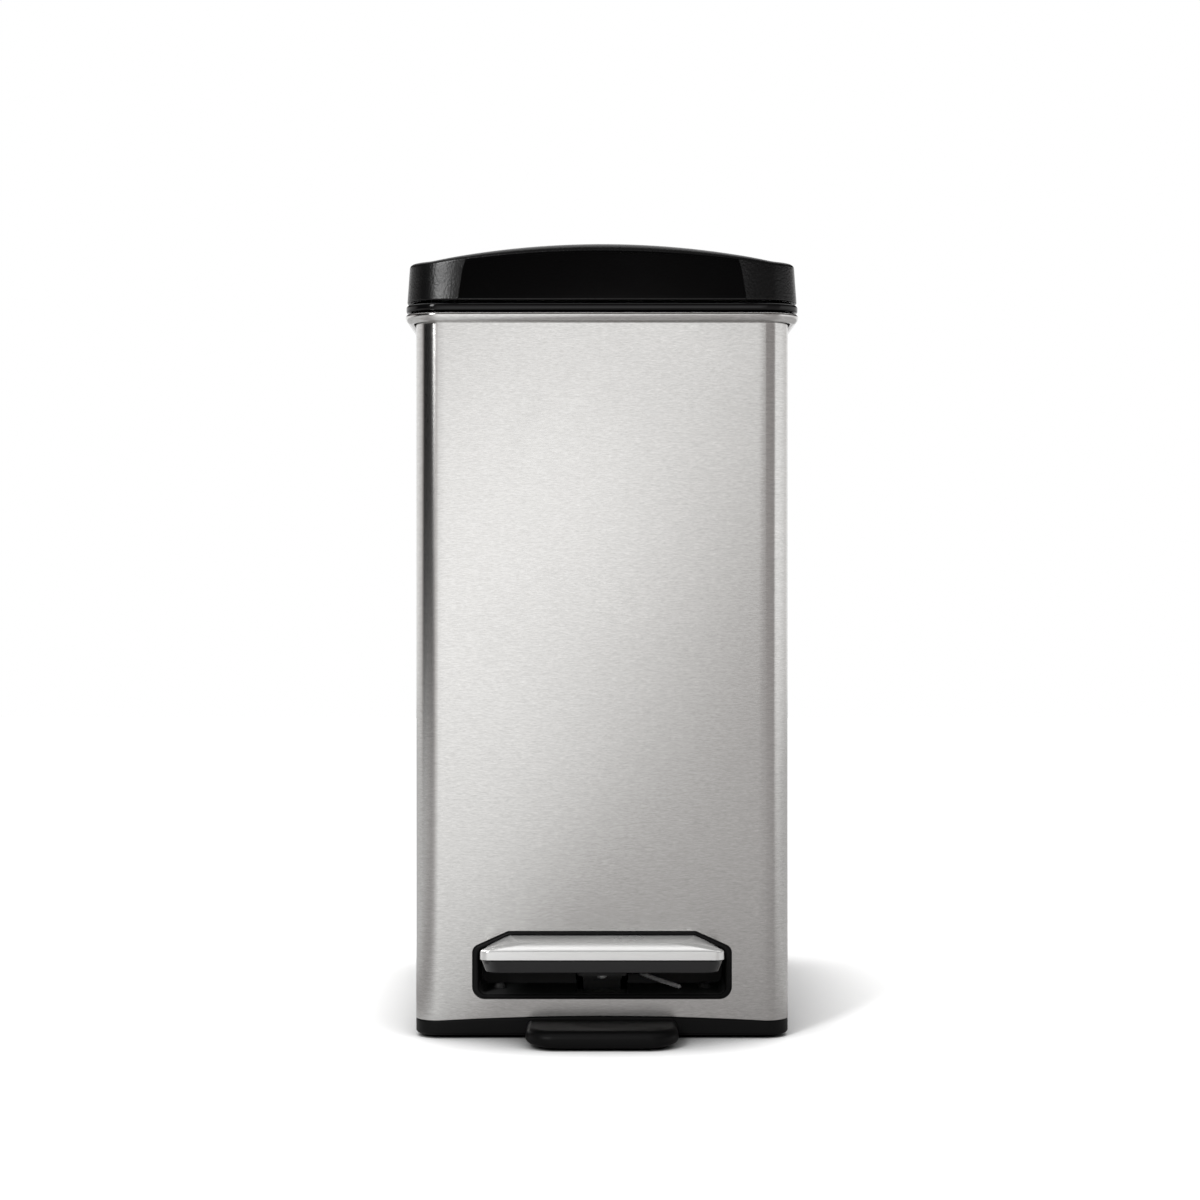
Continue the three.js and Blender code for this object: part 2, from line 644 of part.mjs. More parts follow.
// Foot: a level slot takes the lever pin, which moves along a shallow arc.
function rodFoot() {
  const { low, top, halfX, front, back, socket, slotFront } = FOOT;
  const room = LEVER_PIN_R + SLOT_PLAY;
  const slot = rectangle(LEVER_PIN_Y - slotFront, LEVER_PIN_Y + room, PIVOT.z - room, PIVOT.z + room, 1.6, 4);
  return prismX(rectangle(front, back, low, top, 2, 3), -halfX, halfX)
    .subtract(prismX(slot, -halfX - PAST, halfX + PAST))
    .subtract(barZ(0, ROD_Y, ROD_R + RUN, top - socket, top + PAST));
}

add("rod_yoke", rodYoke(), blackMatte);
add("rod_foot", rodFoot(), blackMatte);
const ROD = { low: FOOT.top - FOOT.socket + 0.5, top: YOKE.low + YOKE.socket - 0.5 };
add("lift_rod", barZ(0, ROD_Y, ROD_R, ROD.low, ROD.top, 16), plating);

// ---------------------------------------------------------------- rod channel and damper

const CHANNEL = { halfX: 16, wall: 2, front: 97, back: 126.8, open: 68, top: 326, foot: 4.8 };
const TAB = { thick: 2.2, screwX: 22, y: 106, halfX: 6, front: 100, back: 112 };
const LUGS = { low: [72, 296], deep: 5 }; // shelves that guide the rod

function rodChannel() {
  const { halfX, wall, front, back, open, top, foot } = CHANNEL;
  const tabTop = foot + TAB.thick;
  const sides = mirrored((side) => {
    const x = side * (halfX - wall / 2);
    return block(x - wall / 2, x + wall / 2, front, back, foot, top);
  });
  const tabs = mirrored((side) => {
    const x = side * (TAB.screwX - 1);
    return prismZ(rectangle(x - TAB.halfX, x + TAB.halfX, TAB.front, TAB.back, 2, 3), foot, tabTop);
  });
  const holes = mirrored((side) => barZ(side * TAB.screwX, TAB.y, CLEAR_R, foot - PAST, tabTop + PAST, 12));
  const shell = sides.add(block(-halfX, halfX, front, front + wall, open, top)).add(tabs).subtract(holes);
  const lugs = LUGS.low.map((z) => block(-halfX + 1, halfX - 1, front, ROD_Y + 5, z, z + LUGS.deep));
  const bore = barZ(0, ROD_Y, ROD_R + RUN, open - PAST, top, 16);
  return lugs.reduce((sum, lug) => sum.add(lug), shell).subtract(bore);
}

add("rod_channel", rodChannel(), blackMatte);

const SPIGOT = { r: 3.2, deep: 4 }; // stub that stands the cylinder in the base
const PISTON = { r: 5.6, low: 56, top: 62 };
const CROSSHEAD = { low: 146, top: 154, halfX: 6.5, socket: 6.4 };

function damperCylinder() {
  const { y, r, low, top, wall } = DAMPER;
  const tube = barZ(0, y, r, low, top, 24).subtract(barZ(0, y, r - wall, low + 3, top + PAST, 24));
  return tube.add(barZ(0, y, SPIGOT.r, low - SPIGOT.deep, low + 1, 16));
}

function damperCap() {
  const { y, r, top, plunger, wall } = DAMPER;
  const plug = barZ(0, y, r - wall - 0.35, top - 2.5, top + 1, 24);
  const bore = barZ(0, y, plunger + GAP / 2, top - 4, top + 4, 16);
  return barZ(0, y, r, top + GAP, top + 3, 24).add(plug).subtract(bore);
}

function damperPlunger() {
  const { y, plunger } = DAMPER;
  const top = CROSSHEAD.low + CROSSHEAD.socket - 0.4;
  return barZ(0, y, plunger, PISTON.low + 1, top, 16).add(barZ(0, y, PISTON.r, PISTON.low, PISTON.top, 24));
}

function damperCrosshead() {
  const { low, top, halfX, socket } = CROSSHEAD;
  return prismZ(rectangle(-halfX, halfX, ROD_Y - 5, DAMPER.y + 4, 3, 3), low, top)
    .subtract(barZ(0, ROD_Y, ROD_R + RUN, low - PAST, top + PAST, 16))
    .subtract(barZ(0, DAMPER.y, DAMPER.plunger + RUN, low - PAST, low + socket, 16));
}

add("damper_cylinder", damperCylinder(), damperPlastic);
add("damper_cap", damperCap(), blackMatte);
add("damper_plunger", damperPlunger(), plating);
add("damper_crosshead", damperCrosshead(), blackMatte);

// ---------------------------------------------------------------- base with the toe

const BASE = { floor: 4.5, upstand: 26, wall: 2.6, edge: 1.6, holeLow: 3.3 };
const FEET = [
  ["front_left", -66, -108],
  ["front_right", 66, -108],
  ["back_left", -66, 108],
  ["back_right", 66, 108],
];
const FOOT_PAD = { r: 8, deep: 2 };
const TOE_PAD = { halfX: 22, front: -157, back: -147, corner: 5 };
const BRACKET = { halfX: 22, sheet: 2, front: -76, back: -56, foot: 4.8, eye: 7, ear: 14, screwX: 30 };
const HOUSING_POSTS = { x: 50, y: -112, r: 4, tab: 2, screwLow: 8 };
const DAMPER_BOSS = { r: 7.6, bore: 3.4 };

function baseTray() {
  const inset = BODY.sheet + GAP;
  const outside = stackBody([
    [-BASE.edge, FLOOR_GAP],
    [-BASE.edge * 0.3, FLOOR_GAP + BASE.edge * 0.3],
    [0, FLOOR_GAP + BASE.edge],
    [0, STEEL_BOTTOM - GAP],
    [-inset, STEEL_BOTTOM - GAP],
    [-inset, BASE.upstand - 2],
    [-inset - 0.8, BASE.upstand],
  ]);
  const inside = stackBody([[-inset - BASE.wall, BASE.floor], [-inset - BASE.wall, BASE.upstand + 1]]);
  return outside.subtract(inside);
}

// The toe: rounded corners in plan, sides leaning in, edges softened.
function toe() {
  const { halfLow, halfTop, front, top, corner } = TOE;
  const ring = (half, y, z, r) =>
    rectangle(-half, half, y, FRONT + 16, r, 6).map(([px, py]) => [px, py, z]);
  return loft([
    ring(halfLow - 1.2, front + 1.2, FLOOR_GAP, corner - 1),
    ring(halfLow, front, FLOOR_GAP + 1.2, corner),
    ring(halfTop, front + 0.6, top - 1.6, corner - 1),
    ring(halfTop - 0.5, front + 1.1, top - 0.5, corner - 1.5),
    ring(halfTop - 1.6, front + 2.2, top, corner - 2.4),
  ]);
}

const POST_TOP = HOUSING.low - HOUSING.wall - HOUSING_POSTS.tab; // where the housing's tabs sit on the posts

function base() {
  const { floor, wall, upstand, holeLow } = BASE;
  const padTop = FLOOR_GAP + FOOT_PAD.deep;
  const arch = frontArch(STEEL_BOTTOM - GAP, STEEL_ARCH, FRONT, FRONT + wall);
  const damperBoss = barZ(0, DAMPER.y, DAMPER_BOSS.r, floor - 1, DAMPER.low - GAP, 20).subtract(
    barZ(0, DAMPER.y, DAMPER_BOSS.bore, DAMPER.low - SPIGOT.deep - 1, DAMPER.low, 16),
  );
  const posts = mirrored((side) => {
    const { x, y, r } = HOUSING_POSTS;
    return barZ(side * x, y, r, floor - 1, POST_TOP - GAP, 16);
  });
  const postHoles = mirrored((side) =>
    barZ(side * HOUSING_POSTS.x, HOUSING_POSTS.y, THREAD_R, HOUSING_POSTS.screwLow, POST_TOP, 12),
  );
  const screwHoles = mirrored((side) =>
    barZ(side * TAB.screwX, TAB.y, THREAD_R, holeLow, floor + 1, 12).add(
      barZ(side * BRACKET.screwX, PIVOT.y, THREAD_R, holeLow, floor + 1, 12),
    ),
  );
  const { halfX, front, back, corner } = TOE_PAD;
  const padOutline = rectangle(-halfX - GAP, halfX + GAP, front - GAP, back + GAP, corner + GAP);
  const footPockets = FEET.map(([, x, y]) => barZ(x, y, FOOT_PAD.r + GAP, 0, padTop, 24));
  const beside = WINDOW.halfX + HOUSING.wall + PAST;
  const windowGap = block(-beside, beside, FRONT + 0.5, FRONT + 6, WINDOW.low - 2.8, upstand + PAST);
  const body = baseTray().add(arch).add(toe()).add(damperBoss).add(posts);
  return footPockets
    .reduce((sum, pocket) => sum.subtract(pocket), body)
    .subtract(prismZ(padOutline, 0, padTop))
    .subtract(postHoles)
    .subtract(screwHoles)
    .subtract(windowGap);
}

add("base", base(), blackMatte);

FEET.forEach(([name, x, y]) => {
  add(`rubber_foot_${name}`, barZ(x, y, FOOT_PAD.r, 0, FLOOR_GAP + FOOT_PAD.deep - GAP, 24), rubber);
});
const toePlan = rectangle(-TOE_PAD.halfX, TOE_PAD.halfX, TOE_PAD.front, TOE_PAD.back, TOE_PAD.corner);
add("toe_pad", prismZ(toePlan, 0, FLOOR_GAP + FOOT_PAD.deep - GAP), rubber);

[["left", -1], ["right", 1]].forEach(([name, side]) => {
  const seat = CHANNEL.foot + TAB.thick + GAP;
  add(`channel_screw_${name}`, screw(side * TAB.screwX, TAB.y, seat, -1, 2.9, 1.35, 3.9), zincWire);
});

// ---------------------------------------------------------------- pedal housing in the window

const housingOutline = (grow) =>
  slantedOutline(HOUSING, grow, WINDOW.bend + grow, WINDOW.bend, WINDOW.crest);

const LEVER_SLOT_FRONT = -125;
const LEVER_SLOT_TOP = 45;

// One moulding: lip in the window, flange behind the sheet, open box with a slot for the lever.
function pedalHousing() {
  const { low, back, wall } = HOUSING;
  const { x, y, r } = HOUSING_POSTS;
  const behind = FRONT + BODY.sheet + GAP;
  const lip = prismY(windowOutline(-GAP), FRONT - 0.5, behind + 1);
  const flange = prismY(windowOutline(2.6), behind, behind + 1.8);
  const box = prismY(housingOutline(wall - 0.4), behind, back);
  const hollow = prismY(housingOutline(0), FRONT - PAST, back - wall);
  const slotHalf = LEVER.halfX + 3.5;
  const slotX = BRACKET.halfX;
  const leverSlot = block(-slotX, slotX, back - wall - PAST, back + PAST, low + 1, LEVER_SLOT_TOP);
  const floorSlot = block(-slotHalf, slotHalf, LEVER_SLOT_FRONT, back + PAST, low - wall - PAST, low + PAST);
  const tabs = mirrored((side) => barZ(side * x, y, r, POST_TOP, low - 0.5, 16));
  const holes = mirrored((side) => barZ(side * x, y, CLEAR_R, POST_TOP - PAST, low + PAST, 12));
  const moulding = lip.add(flange).add(box).add(tabs);
  return moulding.subtract(hollow).subtract(leverSlot).subtract(floorSlot).subtract(holes);
}

add("pedal_housing", pedalHousing(), blackMatte);

[["left", -1], ["right", 1]].forEach(([name, side]) => {
  const { x, y } = HOUSING_POSTS;
  add(`housing_screw_${name}`, screw(side * x, y, HOUSING.low + GAP, -1, 3, 1.35, 10), zincWire);
});

// ---------------------------------------------------------------- pedal

// One level of the pedal's cap: round front corners, and a point where the falling lip becomes level.
function capRing(halfX, front, back, corner, place) {
  const round = arc(halfX - corner, front + corner, corner, -90, 0, 4);
  const right = [...round, [halfX, PEDAL.level], [halfX, back]];
  const left = right.map(([x, y]) => [-x, y]).reverse();
  return [...right, ...left].map(place);
}

// The cap as a block: upright lip, folded edge, side bevels, level top. The sides draw in towards the window.
function capBlock(inset, low, back) {
  const { front, halfX, lip, top, topFront, halfTop, level, fall, draw } = PEDAL;
  const inward = (y) => THREE.MathUtils.clamp((y - topFront) / (level - topFront), 0, 1);
  const rim = (height) =>
    capRing(halfX - inset, front + inset, back, PEDAL_CORNER.rim - inset, ([x, y]) =>
      [x * (1 - draw * inward(y)), y, height(y)]);
  const lipAt = (y) => lip - inset - fall * inward(y);
  const crest = capRing(halfTop - inset * 0.3, topFront + inset, back, PEDAL_CORNER.top, ([x, y]) =>
    [x, y, top - inset]);
  const { lerp } = THREE.MathUtils;
  const folded = rim(lipAt).map((p, i) => p.map((v, k) => lerp(v, crest[i][k], PEDAL_FOLD.bevel)));
  return loft([rim(() => low), rim((y) => lipAt(y) - PEDAL_FOLD.drop), folded, crest]);
}

// The stamped cap is a hollow sheet that the tray fills from below.
function pedalPlate() {
  return capBlock(0, PEDAL.seam, PEDAL.back).subtract(capBlock(PEDAL.sheet, PEDAL.seam - 1, PEDAL.back + 2));
}

const SCREW_BOSS = rectangle(-11, 11, -121, -103, 3, 3); // stands on the lever, inside the tray

function pedalTray() {
  const { front, back, halfX, seam, sheet } = PEDAL;
  const plan = (inset, z) => {
    const outline = rectangle(-halfX + inset, halfX - inset, front + inset * 0.55, back, TRAY.corner);
    return outline.map(([x, y]) => [x, y, z]);
  };
  const shell = loft([
    plan(TRAY.inset + TRAY.chamfer, TRAY.low),
    plan(TRAY.inset, TRAY.low + 0.8),
    plan(GAP, seam - 1.2),
    plan(GAP, seam - GAP),
  ]);
  const core = capBlock(sheet + GAP, seam - 2, back);
  const boss = prismZ(SCREW_BOSS, LEVER_TOP + GAP, TRAY.low + 2);
  const screwHole = barZ(0, PEDAL_SCREW_Y, THREAD_R, LEVER_TOP - PAST, TRAY.low + 3, 12);
  return shell.add(core).add(boss).subtract(screwHole);
}

add("pedal_plate", pedalPlate(), steel);
add("pedal_tray", pedalTray(), greyPlastic);

// Channel-section lever: web on top, flanges round the axle and the lever pin, forked at the back.
function pedalLever() {
  const { halfX, sheet, webLow, webBack, back, front, nose } = LEVER;
  const web = prismZ(rectangle(-halfX, halfX, front, webBack, 2, 3), webLow, LEVER_TOP);
  const axleLow = PIVOT.z - PIVOT.r - 2.5;
  const pinLow = PIVOT.z - LEVER_PIN_R - 2.6;
  const flange = roundedOutline([
    [nose, webLow + 0.5, 0],
    [PIVOT.y - 12, axleLow, 3],
    [PIVOT.y + 12, axleLow, 6],
    [PIVOT.y + 30, LEVER_BELLY, 10],
    [webBack, pinLow, 4],
    [back, pinLow, 4],
    [back, LEVER_TOP - 0.4, 3],
    [webBack, LEVER_TOP, 0],
    [nose, LEVER_TOP, 0],
  ]);
  return web
    .add(cheekPair(flange, halfX - sheet, halfX))
    .subtract(barX(PIVOT.y, PIVOT.z, PIVOT.r + RUN, -halfX - PAST, halfX + PAST))
    .subtract(barX(LEVER_PIN_Y, PIVOT.z, LEVER_PIN_R + RUN, -halfX - PAST, halfX + PAST))
    .subtract(barZ(0, PEDAL_SCREW_Y, CLEAR_R, webLow - PAST, LEVER_TOP + PAST, 12));
}

add("pedal_lever", pedalLever(), paintedSteel);
add("pedal_screw", screw(0, PEDAL_SCREW_Y, LEVER.webLow - GAP, 1, 2.4, 1.3, 9), zincWire);
add("lever_pin", barX(LEVER_PIN_Y, PIVOT.z, LEVER_PIN_R, -LEVER.halfX - 1, LEVER.halfX + 1), zincWire);

// ---------------------------------------------------------------- pivot

function pivotBracket() {
  const { halfX, sheet, front, back, foot, eye, ear, screwX } = BRACKET;
  const outline = [[front, foot], [back, foot], ...arc(PIVOT.y, PIVOT.z, eye, 0, 180, 12)];
  const floor = prismZ(rectangle(-halfX - ear, halfX + ear, front, back, 3, 3), foot, foot + sheet);
  const top = foot + sheet;
  const holes = mirrored((side) => barZ(side * screwX, PIVOT.y, CLEAR_R, foot - PAST, top + PAST, 12));
  return floor
    .add(cheekPair(outline, halfX - sheet, halfX))
    .subtract(barX(PIVOT.y, PIVOT.z, PIVOT.r + RUN, -halfX - PAST, halfX + PAST))
    .subtract(holes);
}

const AXLE_HALF = 26;
const AXLE_CAP = { r: 5.4, thick: 2.7 };

add("pivot_bracket", pivotBracket(), paintedSteel);
add("pivot_axle", barX(PIVOT.y, PIVOT.z, PIVOT.r, -AXLE_HALF, AXLE_HALF), plating);

[["left", -1], ["right", 1]].forEach(([name, side]) => {
  const near = side * (BRACKET.halfX + GAP);
  const far = near + side * AXLE_CAP.thick;
  const ring = barX(PIVOT.y, PIVOT.z, AXLE_CAP.r, Math.min(near, far), Math.max(near, far), 20);
  const bore = barX(PIVOT.y, PIVOT.z, PIVOT.r + RUN, -AXLE_HALF - PAST, AXLE_HALF + PAST);
  add(`axle_cap_${name}`, ring.subtract(bore), blackMatte);
  const seat = BRACKET.foot + BRACKET.sheet + GAP;
  add(`bracket_screw_${name}`, screw(side * BRACKET.screwX, PIVOT.y, seat, -1, 2.9, 1.35, 3.7), zincWire);
});

const SPRING = { wire: 1.1, r: 4.9, from: 13.9, to: 18.4, turns: 2, steps: 24 };

// Torsion spring: coil on the axle, one leg hooked over the lever, one leg out on the housing's floor.
function returnSpring() {
  const { wire, r, from, to, turns, steps } = SPRING;
  const hookZ = LEVER_TOP + wire + GAP;
  const hook = [[8.4, -47, hookZ], [12.2, -47, hookZ], [13.8, -48, 30.4], [13.9, -56, 29.6]];
  const coil = [];
  for (let k = 0; k <= steps; k += 1) {
    const a = rad(90 + (360 * turns * k) / steps);
    const x = THREE.MathUtils.lerp(from, to, k / steps);
    coil.push([x, PIVOT.y + r * Math.cos(a), PIVOT.z + r * Math.sin(a)]);
  }
  const leg = [[to, -76, 29], [18.2, -90, 28], [18.6, -97, 27.2], [22, -103, 26], [37.5, -117, 22.75]];
  const points = [...hook, ...coil, ...leg].map((p) => new THREE.Vector3(...p));
  const path = new THREE.CatmullRomCurve3(points, false, "centripetal");
  const section = shapeOf(arc(0, 0, wire, 0, 288, 4));
  return solid(new THREE.ExtrudeGeometry(section, { steps: 62, bevelEnabled: false, extrudePath: path }));
}

add("return_spring", returnSpring(), zincWire);

export default can;
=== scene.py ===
from math import asin, cos, hypot, pi, radians, sin, tan, tau

import bmesh
import bpy
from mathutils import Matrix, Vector


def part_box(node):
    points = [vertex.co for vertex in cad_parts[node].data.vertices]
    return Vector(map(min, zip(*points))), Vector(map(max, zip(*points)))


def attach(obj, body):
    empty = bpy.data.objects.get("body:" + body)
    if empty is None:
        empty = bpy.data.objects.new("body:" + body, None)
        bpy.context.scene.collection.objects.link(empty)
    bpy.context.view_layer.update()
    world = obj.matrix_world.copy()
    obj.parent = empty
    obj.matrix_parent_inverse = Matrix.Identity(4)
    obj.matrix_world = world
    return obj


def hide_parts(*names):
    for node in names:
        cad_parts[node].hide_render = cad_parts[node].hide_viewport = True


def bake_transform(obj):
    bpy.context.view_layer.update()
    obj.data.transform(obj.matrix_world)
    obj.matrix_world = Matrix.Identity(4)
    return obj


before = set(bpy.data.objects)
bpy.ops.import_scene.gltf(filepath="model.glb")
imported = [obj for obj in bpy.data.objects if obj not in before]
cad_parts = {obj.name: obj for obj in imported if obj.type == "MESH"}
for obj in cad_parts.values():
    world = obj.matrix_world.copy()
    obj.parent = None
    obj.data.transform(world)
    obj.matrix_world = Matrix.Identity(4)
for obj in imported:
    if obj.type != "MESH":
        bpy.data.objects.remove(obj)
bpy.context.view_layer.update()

# ------ camera, floor and studio light
# The can stands on a white table top, whose material paints a contact shadow round the can and a pool of
# light that polished faces reflect. A level camera looks straight at its front from table height.
# A tall soft lamp stands to the left of the camera, and pale walls with one black screen stand round.

CAMERA_PLACE = (-0.00096, -1.2665, 0.2105)
LENS = 71.9
SENSOR = 36.0

scene = bpy.context.scene
scene.view_settings.view_transform = "Standard"


def put(name, data):
    made = bpy.data.objects.new(name, data)
    scene.collection.objects.link(made)
    return made


camera_data = bpy.data.cameras.new("camera")
camera_data.lens = LENS
camera_data.sensor_width = SENSOR
camera_data.clip_start = 0.01
camera = put("camera", camera_data)
camera.location = CAMERA_PLACE
camera.rotation_euler = (radians(90), 0, 0)
scene.camera = camera


def node_maker(tree):
    """Makes nodes in one tree: node(kind, {setting: value}, socket=value, output or node). A node given to a
    socket stands for its first output."""

    def node(kind, settings=None, **inputs):
        made = tree.nodes.new(kind if kind.startswith("NodeGroup") else "ShaderNode" + kind)
        for name, value in (settings or {}).items():
            setattr(made, name, value)
        for name, value in inputs.items():
            key = int(name[1:]) if name[0] == "i" and name[1:].isdigit() else name.replace("_", " ")
            if isinstance(value, bpy.types.Node):
                value = value.outputs[0]
            if isinstance(value, bpy.types.NodeSocket):
                tree.links.new(value, made.inputs[key])
            else:
                made.inputs[key].default_value = value
        return made

    return node


def empty_nodes(owner):
    owner.use_nodes = True
    owner.node_tree.nodes.clear()
    return node_maker(owner.node_tree)


def new_material(name):
    material = bpy.data.materials.new(name)
    return material, empty_nodes(material)


def maths(node, operation, a, b=0.0, c=0.0):
    return node("Math", {"operation": operation}, i0=a, i1=b, i2=c)


def mix(node, factor, low, high):
    return node("Mix", {"data_type": "FLOAT"}, i0=factor, i2=low, i3=high)


def stops(node, factor, places):
    """A smooth row of (place, value) stops that a number from 0 to 1 picks from."""
    made = node("ValToRGB", Fac=factor)
    band = made.color_ramp
    while len(band.elements) < len(places):
        band.elements.new(0.5)
    for element, (place, value) in zip(band.elements, places):
        element.position = place
        element.color = (value, value, value, 1)
    return made


def by_bearing(node, bearing, places):
    """Brightness by bearing in degrees, as a share of WALL_SPAN because a row of stops ends at 1."""
    turn = maths(node, "MULTIPLY_ADD", bearing, 1 / tau, 0.5)
    return stops(node, turn, [((place + 180) / 360, value / WALL_SPAN) for place, value in places])


def warmed(node, level):
    """The room's paint: a little warm where it falls into shade, neutral where it is bright."""
    kind = {"data_type": "RGBA", "clamp_factor": True}
    return node("Mix", kind, i0=level, i6=SHADE_TINT, i7=(1, 1, 1, 1)).outputs[2]


# What polished faces see at eye level, by bearing in degrees from the camera, positive to the right.
WALLS = [(-180, 1.05), (-125, 1.0), (-98, 0.72), (-89, 0.32), (-82, 0.01), (-26, 0.01), (-22, 0.3),
         (-18, 0.66), (-15, 0.8), (-10, 1.0), (-5.5, 1.55), (-0.5, 1.52), (3, 0.73), (5.5, 0.28),
         (8, 0.42), (46, 0.38), (50.5, 1.22), (80, 1.15), (121, 0.85), (140, 1.0), (180, 1.05)]
# The floor's painted pool of light by bearing: polished faces see it as a reflection of the floor.
PAINTED_FLOOR_POOL = [(-180, 1.0), (-63, 1.0), (-31, 0.4), (-20, 0.5), (-10, 1.05), (-5, 1.36), (-1, 1.22),
              (3, 0.7), (5.5, 0.32), (8, 0.46), (40, 0.4), (60, 0.85), (180, 0.85)]
# The walls' share of that by height, from straight down (0) to straight up (1), and the ceiling above them.
WALL_HEIGHTS = [(0.0, 0.4), (0.46, 0.85), (0.49, 1.0), (0.53, 1.0), (0.557, 0.9), (0.572, 0.05), (0.6, 0.0)]
CEILING = [(0.6, 0.0), (0.66, 0.05), (0.75, 0.06), (1.0, 0.1)]
# A wide white light overhead, a little behind the can, by the cosine of the angle from its middle.
OVERHEAD = [(0.72, 0.0), (0.84, 0.65), (0.9, 1.0), (1.0, 1.0)]
OVERHEAD_LEVEL = 1.6
OVERHEAD_LEAN = radians(25)
WALL_SPAN = 1.6
WALL_TILT = 0.65
ROOM_LEVEL = 0.72
SHADE_TINT = (1.09, 1.0, 0.98, 1)

world = bpy.data.worlds.new("studio")
world.cycles.sampling_method = "NONE"
scene.world = world
node = empty_nodes(world)
gaze = node("TexCoord").outputs["Generated"]
part = node("SeparateXYZ", Vector=gaze)
bearing = maths(node, "ARCTAN2", part.outputs["X"], maths(node, "MULTIPLY", part.outputs["Y"], -1.0))
rising = maths(node, "ARCSINE", part.outputs["Z"])
walls = by_bearing(node, maths(node, "MULTIPLY_ADD", rising, -WALL_TILT, bearing), WALLS)
rise = maths(node, "MULTIPLY_ADD", rising, 1 / pi, 0.5)
standing = maths(node, "MULTIPLY", walls, stops(node, rise, WALL_HEIGHTS))
lamp_middle = (0, sin(OVERHEAD_LEAN), cos(OVERHEAD_LEAN))
overhead = node("VectorMath", {"operation": "DOT_PRODUCT"}, i0=gaze, i1=lamp_middle).outputs["Value"]
ceiling = stops(node, rise, CEILING)
above = maths(node, "MULTIPLY_ADD", stops(node, overhead, OVERHEAD), OVERHEAD_LEVEL, ceiling)
seen = maths(node, "MULTIPLY_ADD", standing, WALL_SPAN, above)
rays = node("LightPath")
mirrored_ray = maths(node, "MAXIMUM", rays.outputs["Is Glossy Ray"], rays.outputs["Is Transmission Ray"])
level = mix(node, rays.outputs["Is Camera Ray"], mix(node, mirrored_ray, ROOM_LEVEL, seen), 1.0)
shade = node("Mix", {"data_type": "RGBA"}, i0=mirrored_ray, i6=(1, 1, 1, 1), i7=warmed(node, seen)).outputs[2]
backdrop = node("Background", Color=shade, Strength=level)
node("OutputWorld", Surface=backdrop)

FLOOR_HALF = 3.0
FLOOR_WHITE = (1.9, 1.9, 1.9, 1)
FLOOR_GREY = (0.21, 0.21, 0.21, 1)
PAINTED_POOL_LEVEL = 0.65
PAINTED_SHADOW_REACH = 0.075
# The painted pool of light fans out over the floor from a point behind the can's front and left of its
# middle.
CAN_FRONT = -0.116
POOL_BEHIND, POOL_LEFT, POOL_DRIFT = 0.25, 0.085, -0.02
# How dark the painted shade on the floor's glow gets at the can's front, and how far it reaches.
PAINTED_SHADE_NEAR, PAINTED_SHADE_REACH = 0.7, 0.9

floor_mesh = bpy.data.meshes.new("floor")
floor_mesh.from_pydata([(-1, -1, 0), (1, -1, 0), (1, 1, 0), (-1, 1, 0)], [], [(0, 1, 2, 3)])
floor = put("floor", floor_mesh)
floor.scale = (FLOOR_HALF, FLOOR_HALF, 1)
floor_paint, node = new_material("white table top")
rays = node("LightPath")
spot = node("SeparateXYZ", Vector=node("NewGeometry").outputs["Position"])
ahead = maths(node, "SUBTRACT", CAN_FRONT, spot.outputs["Y"])
aside = maths(node, "MULTIPLY_ADD", ahead, POOL_DRIFT, maths(node, "ADD", spot.outputs["X"], POOL_LEFT))
pool_bearing = maths(node, "ARCTAN2", aside, maths(node, "ADD", ahead, POOL_BEHIND))
# The painted pool's brightness by bearing, read from the walls' row of stops.
walls = by_bearing(node, pool_bearing, PAINTED_FLOOR_POOL)
eased = {"interpolation_type": "SMOOTHSTEP"}
# The floor's glow dims towards the can's front: painted shade near the base.
clear = node("MapRange", eased, i0=ahead, i1=0.0, i2=PAINTED_SHADE_REACH, i3=PAINTED_SHADE_NEAR, i4=1.0)
# Ambient occlusion darkens the floor's white near the can and its toe: a painted contact shadow.
painted_contact_shadow = node("AmbientOcclusion", {"samples": 8}, Color=FLOOR_WHITE, Distance=PAINTED_SHADOW_REACH)
painted_floor_shade = maths(node, "MULTIPLY", clear, painted_contact_shadow.outputs["AO"])
painted_pool_glow = maths(node, "MULTIPLY", maths(node, "MULTIPLY", walls, WALL_SPAN * PAINTED_POOL_LEVEL), painted_floor_shade)
white = node("BsdfDiffuse", Color=painted_contact_shadow.outputs["Color"])
grey = node("BsdfDiffuse", Color=FLOOR_GREY)
painted_pool_colour = warmed(node, maths(node, "MULTIPLY", walls, WALL_SPAN))
# Glossy rays see the floor glow with this painted pool of light: a painted reflection, not lit by any lamp.
painted_floor_reflection = node("Emission", Color=painted_pool_colour, Strength=painted_pool_glow)
grey_with_painted_pool = node("AddShader", i0=grey, i1=painted_floor_reflection)
for_rest = node("MixShader", i0=rays.outputs["Is Glossy Ray"], i1=grey, i2=grey_with_painted_pool)
top = node("MixShader", i0=rays.outputs["Is Camera Ray"], i1=for_rest, i2=white)
node("OutputMaterial", Surface=top)
floor_mesh.materials.append(floor_paint)

# One tall soft box on a stand, turned to the can's middle.
LAMP_BEARING, LAMP_AWAY, LAMP_ABOVE = radians(-26), 1.8, 1.13
lamp_data = bpy.data.lights.new("key lamp", "AREA")
lamp_data.shape = "RECTANGLE"
lamp_data.size = 0.32
lamp_data.size_y = 0.9
lamp_data.energy = 16.0
lamp = put("key lamp", lamp_data)
lamp.location = (LAMP_AWAY * sin(LAMP_BEARING), -LAMP_AWAY * cos(LAMP_BEARING), LAMP_ABOVE)
lamp.rotation_euler = (lamp.location - Vector((0, 0, 0.2))).to_track_quat("Z", "Y").to_euler()
lamp.visible_camera = False

# ------ base
# One black polypropylene moulding under the steel: a low band, an upstand that the wrapper slips over,
# and a wide toe in front that keeps the can from tipping. Its mould leaves a fine spark grain.

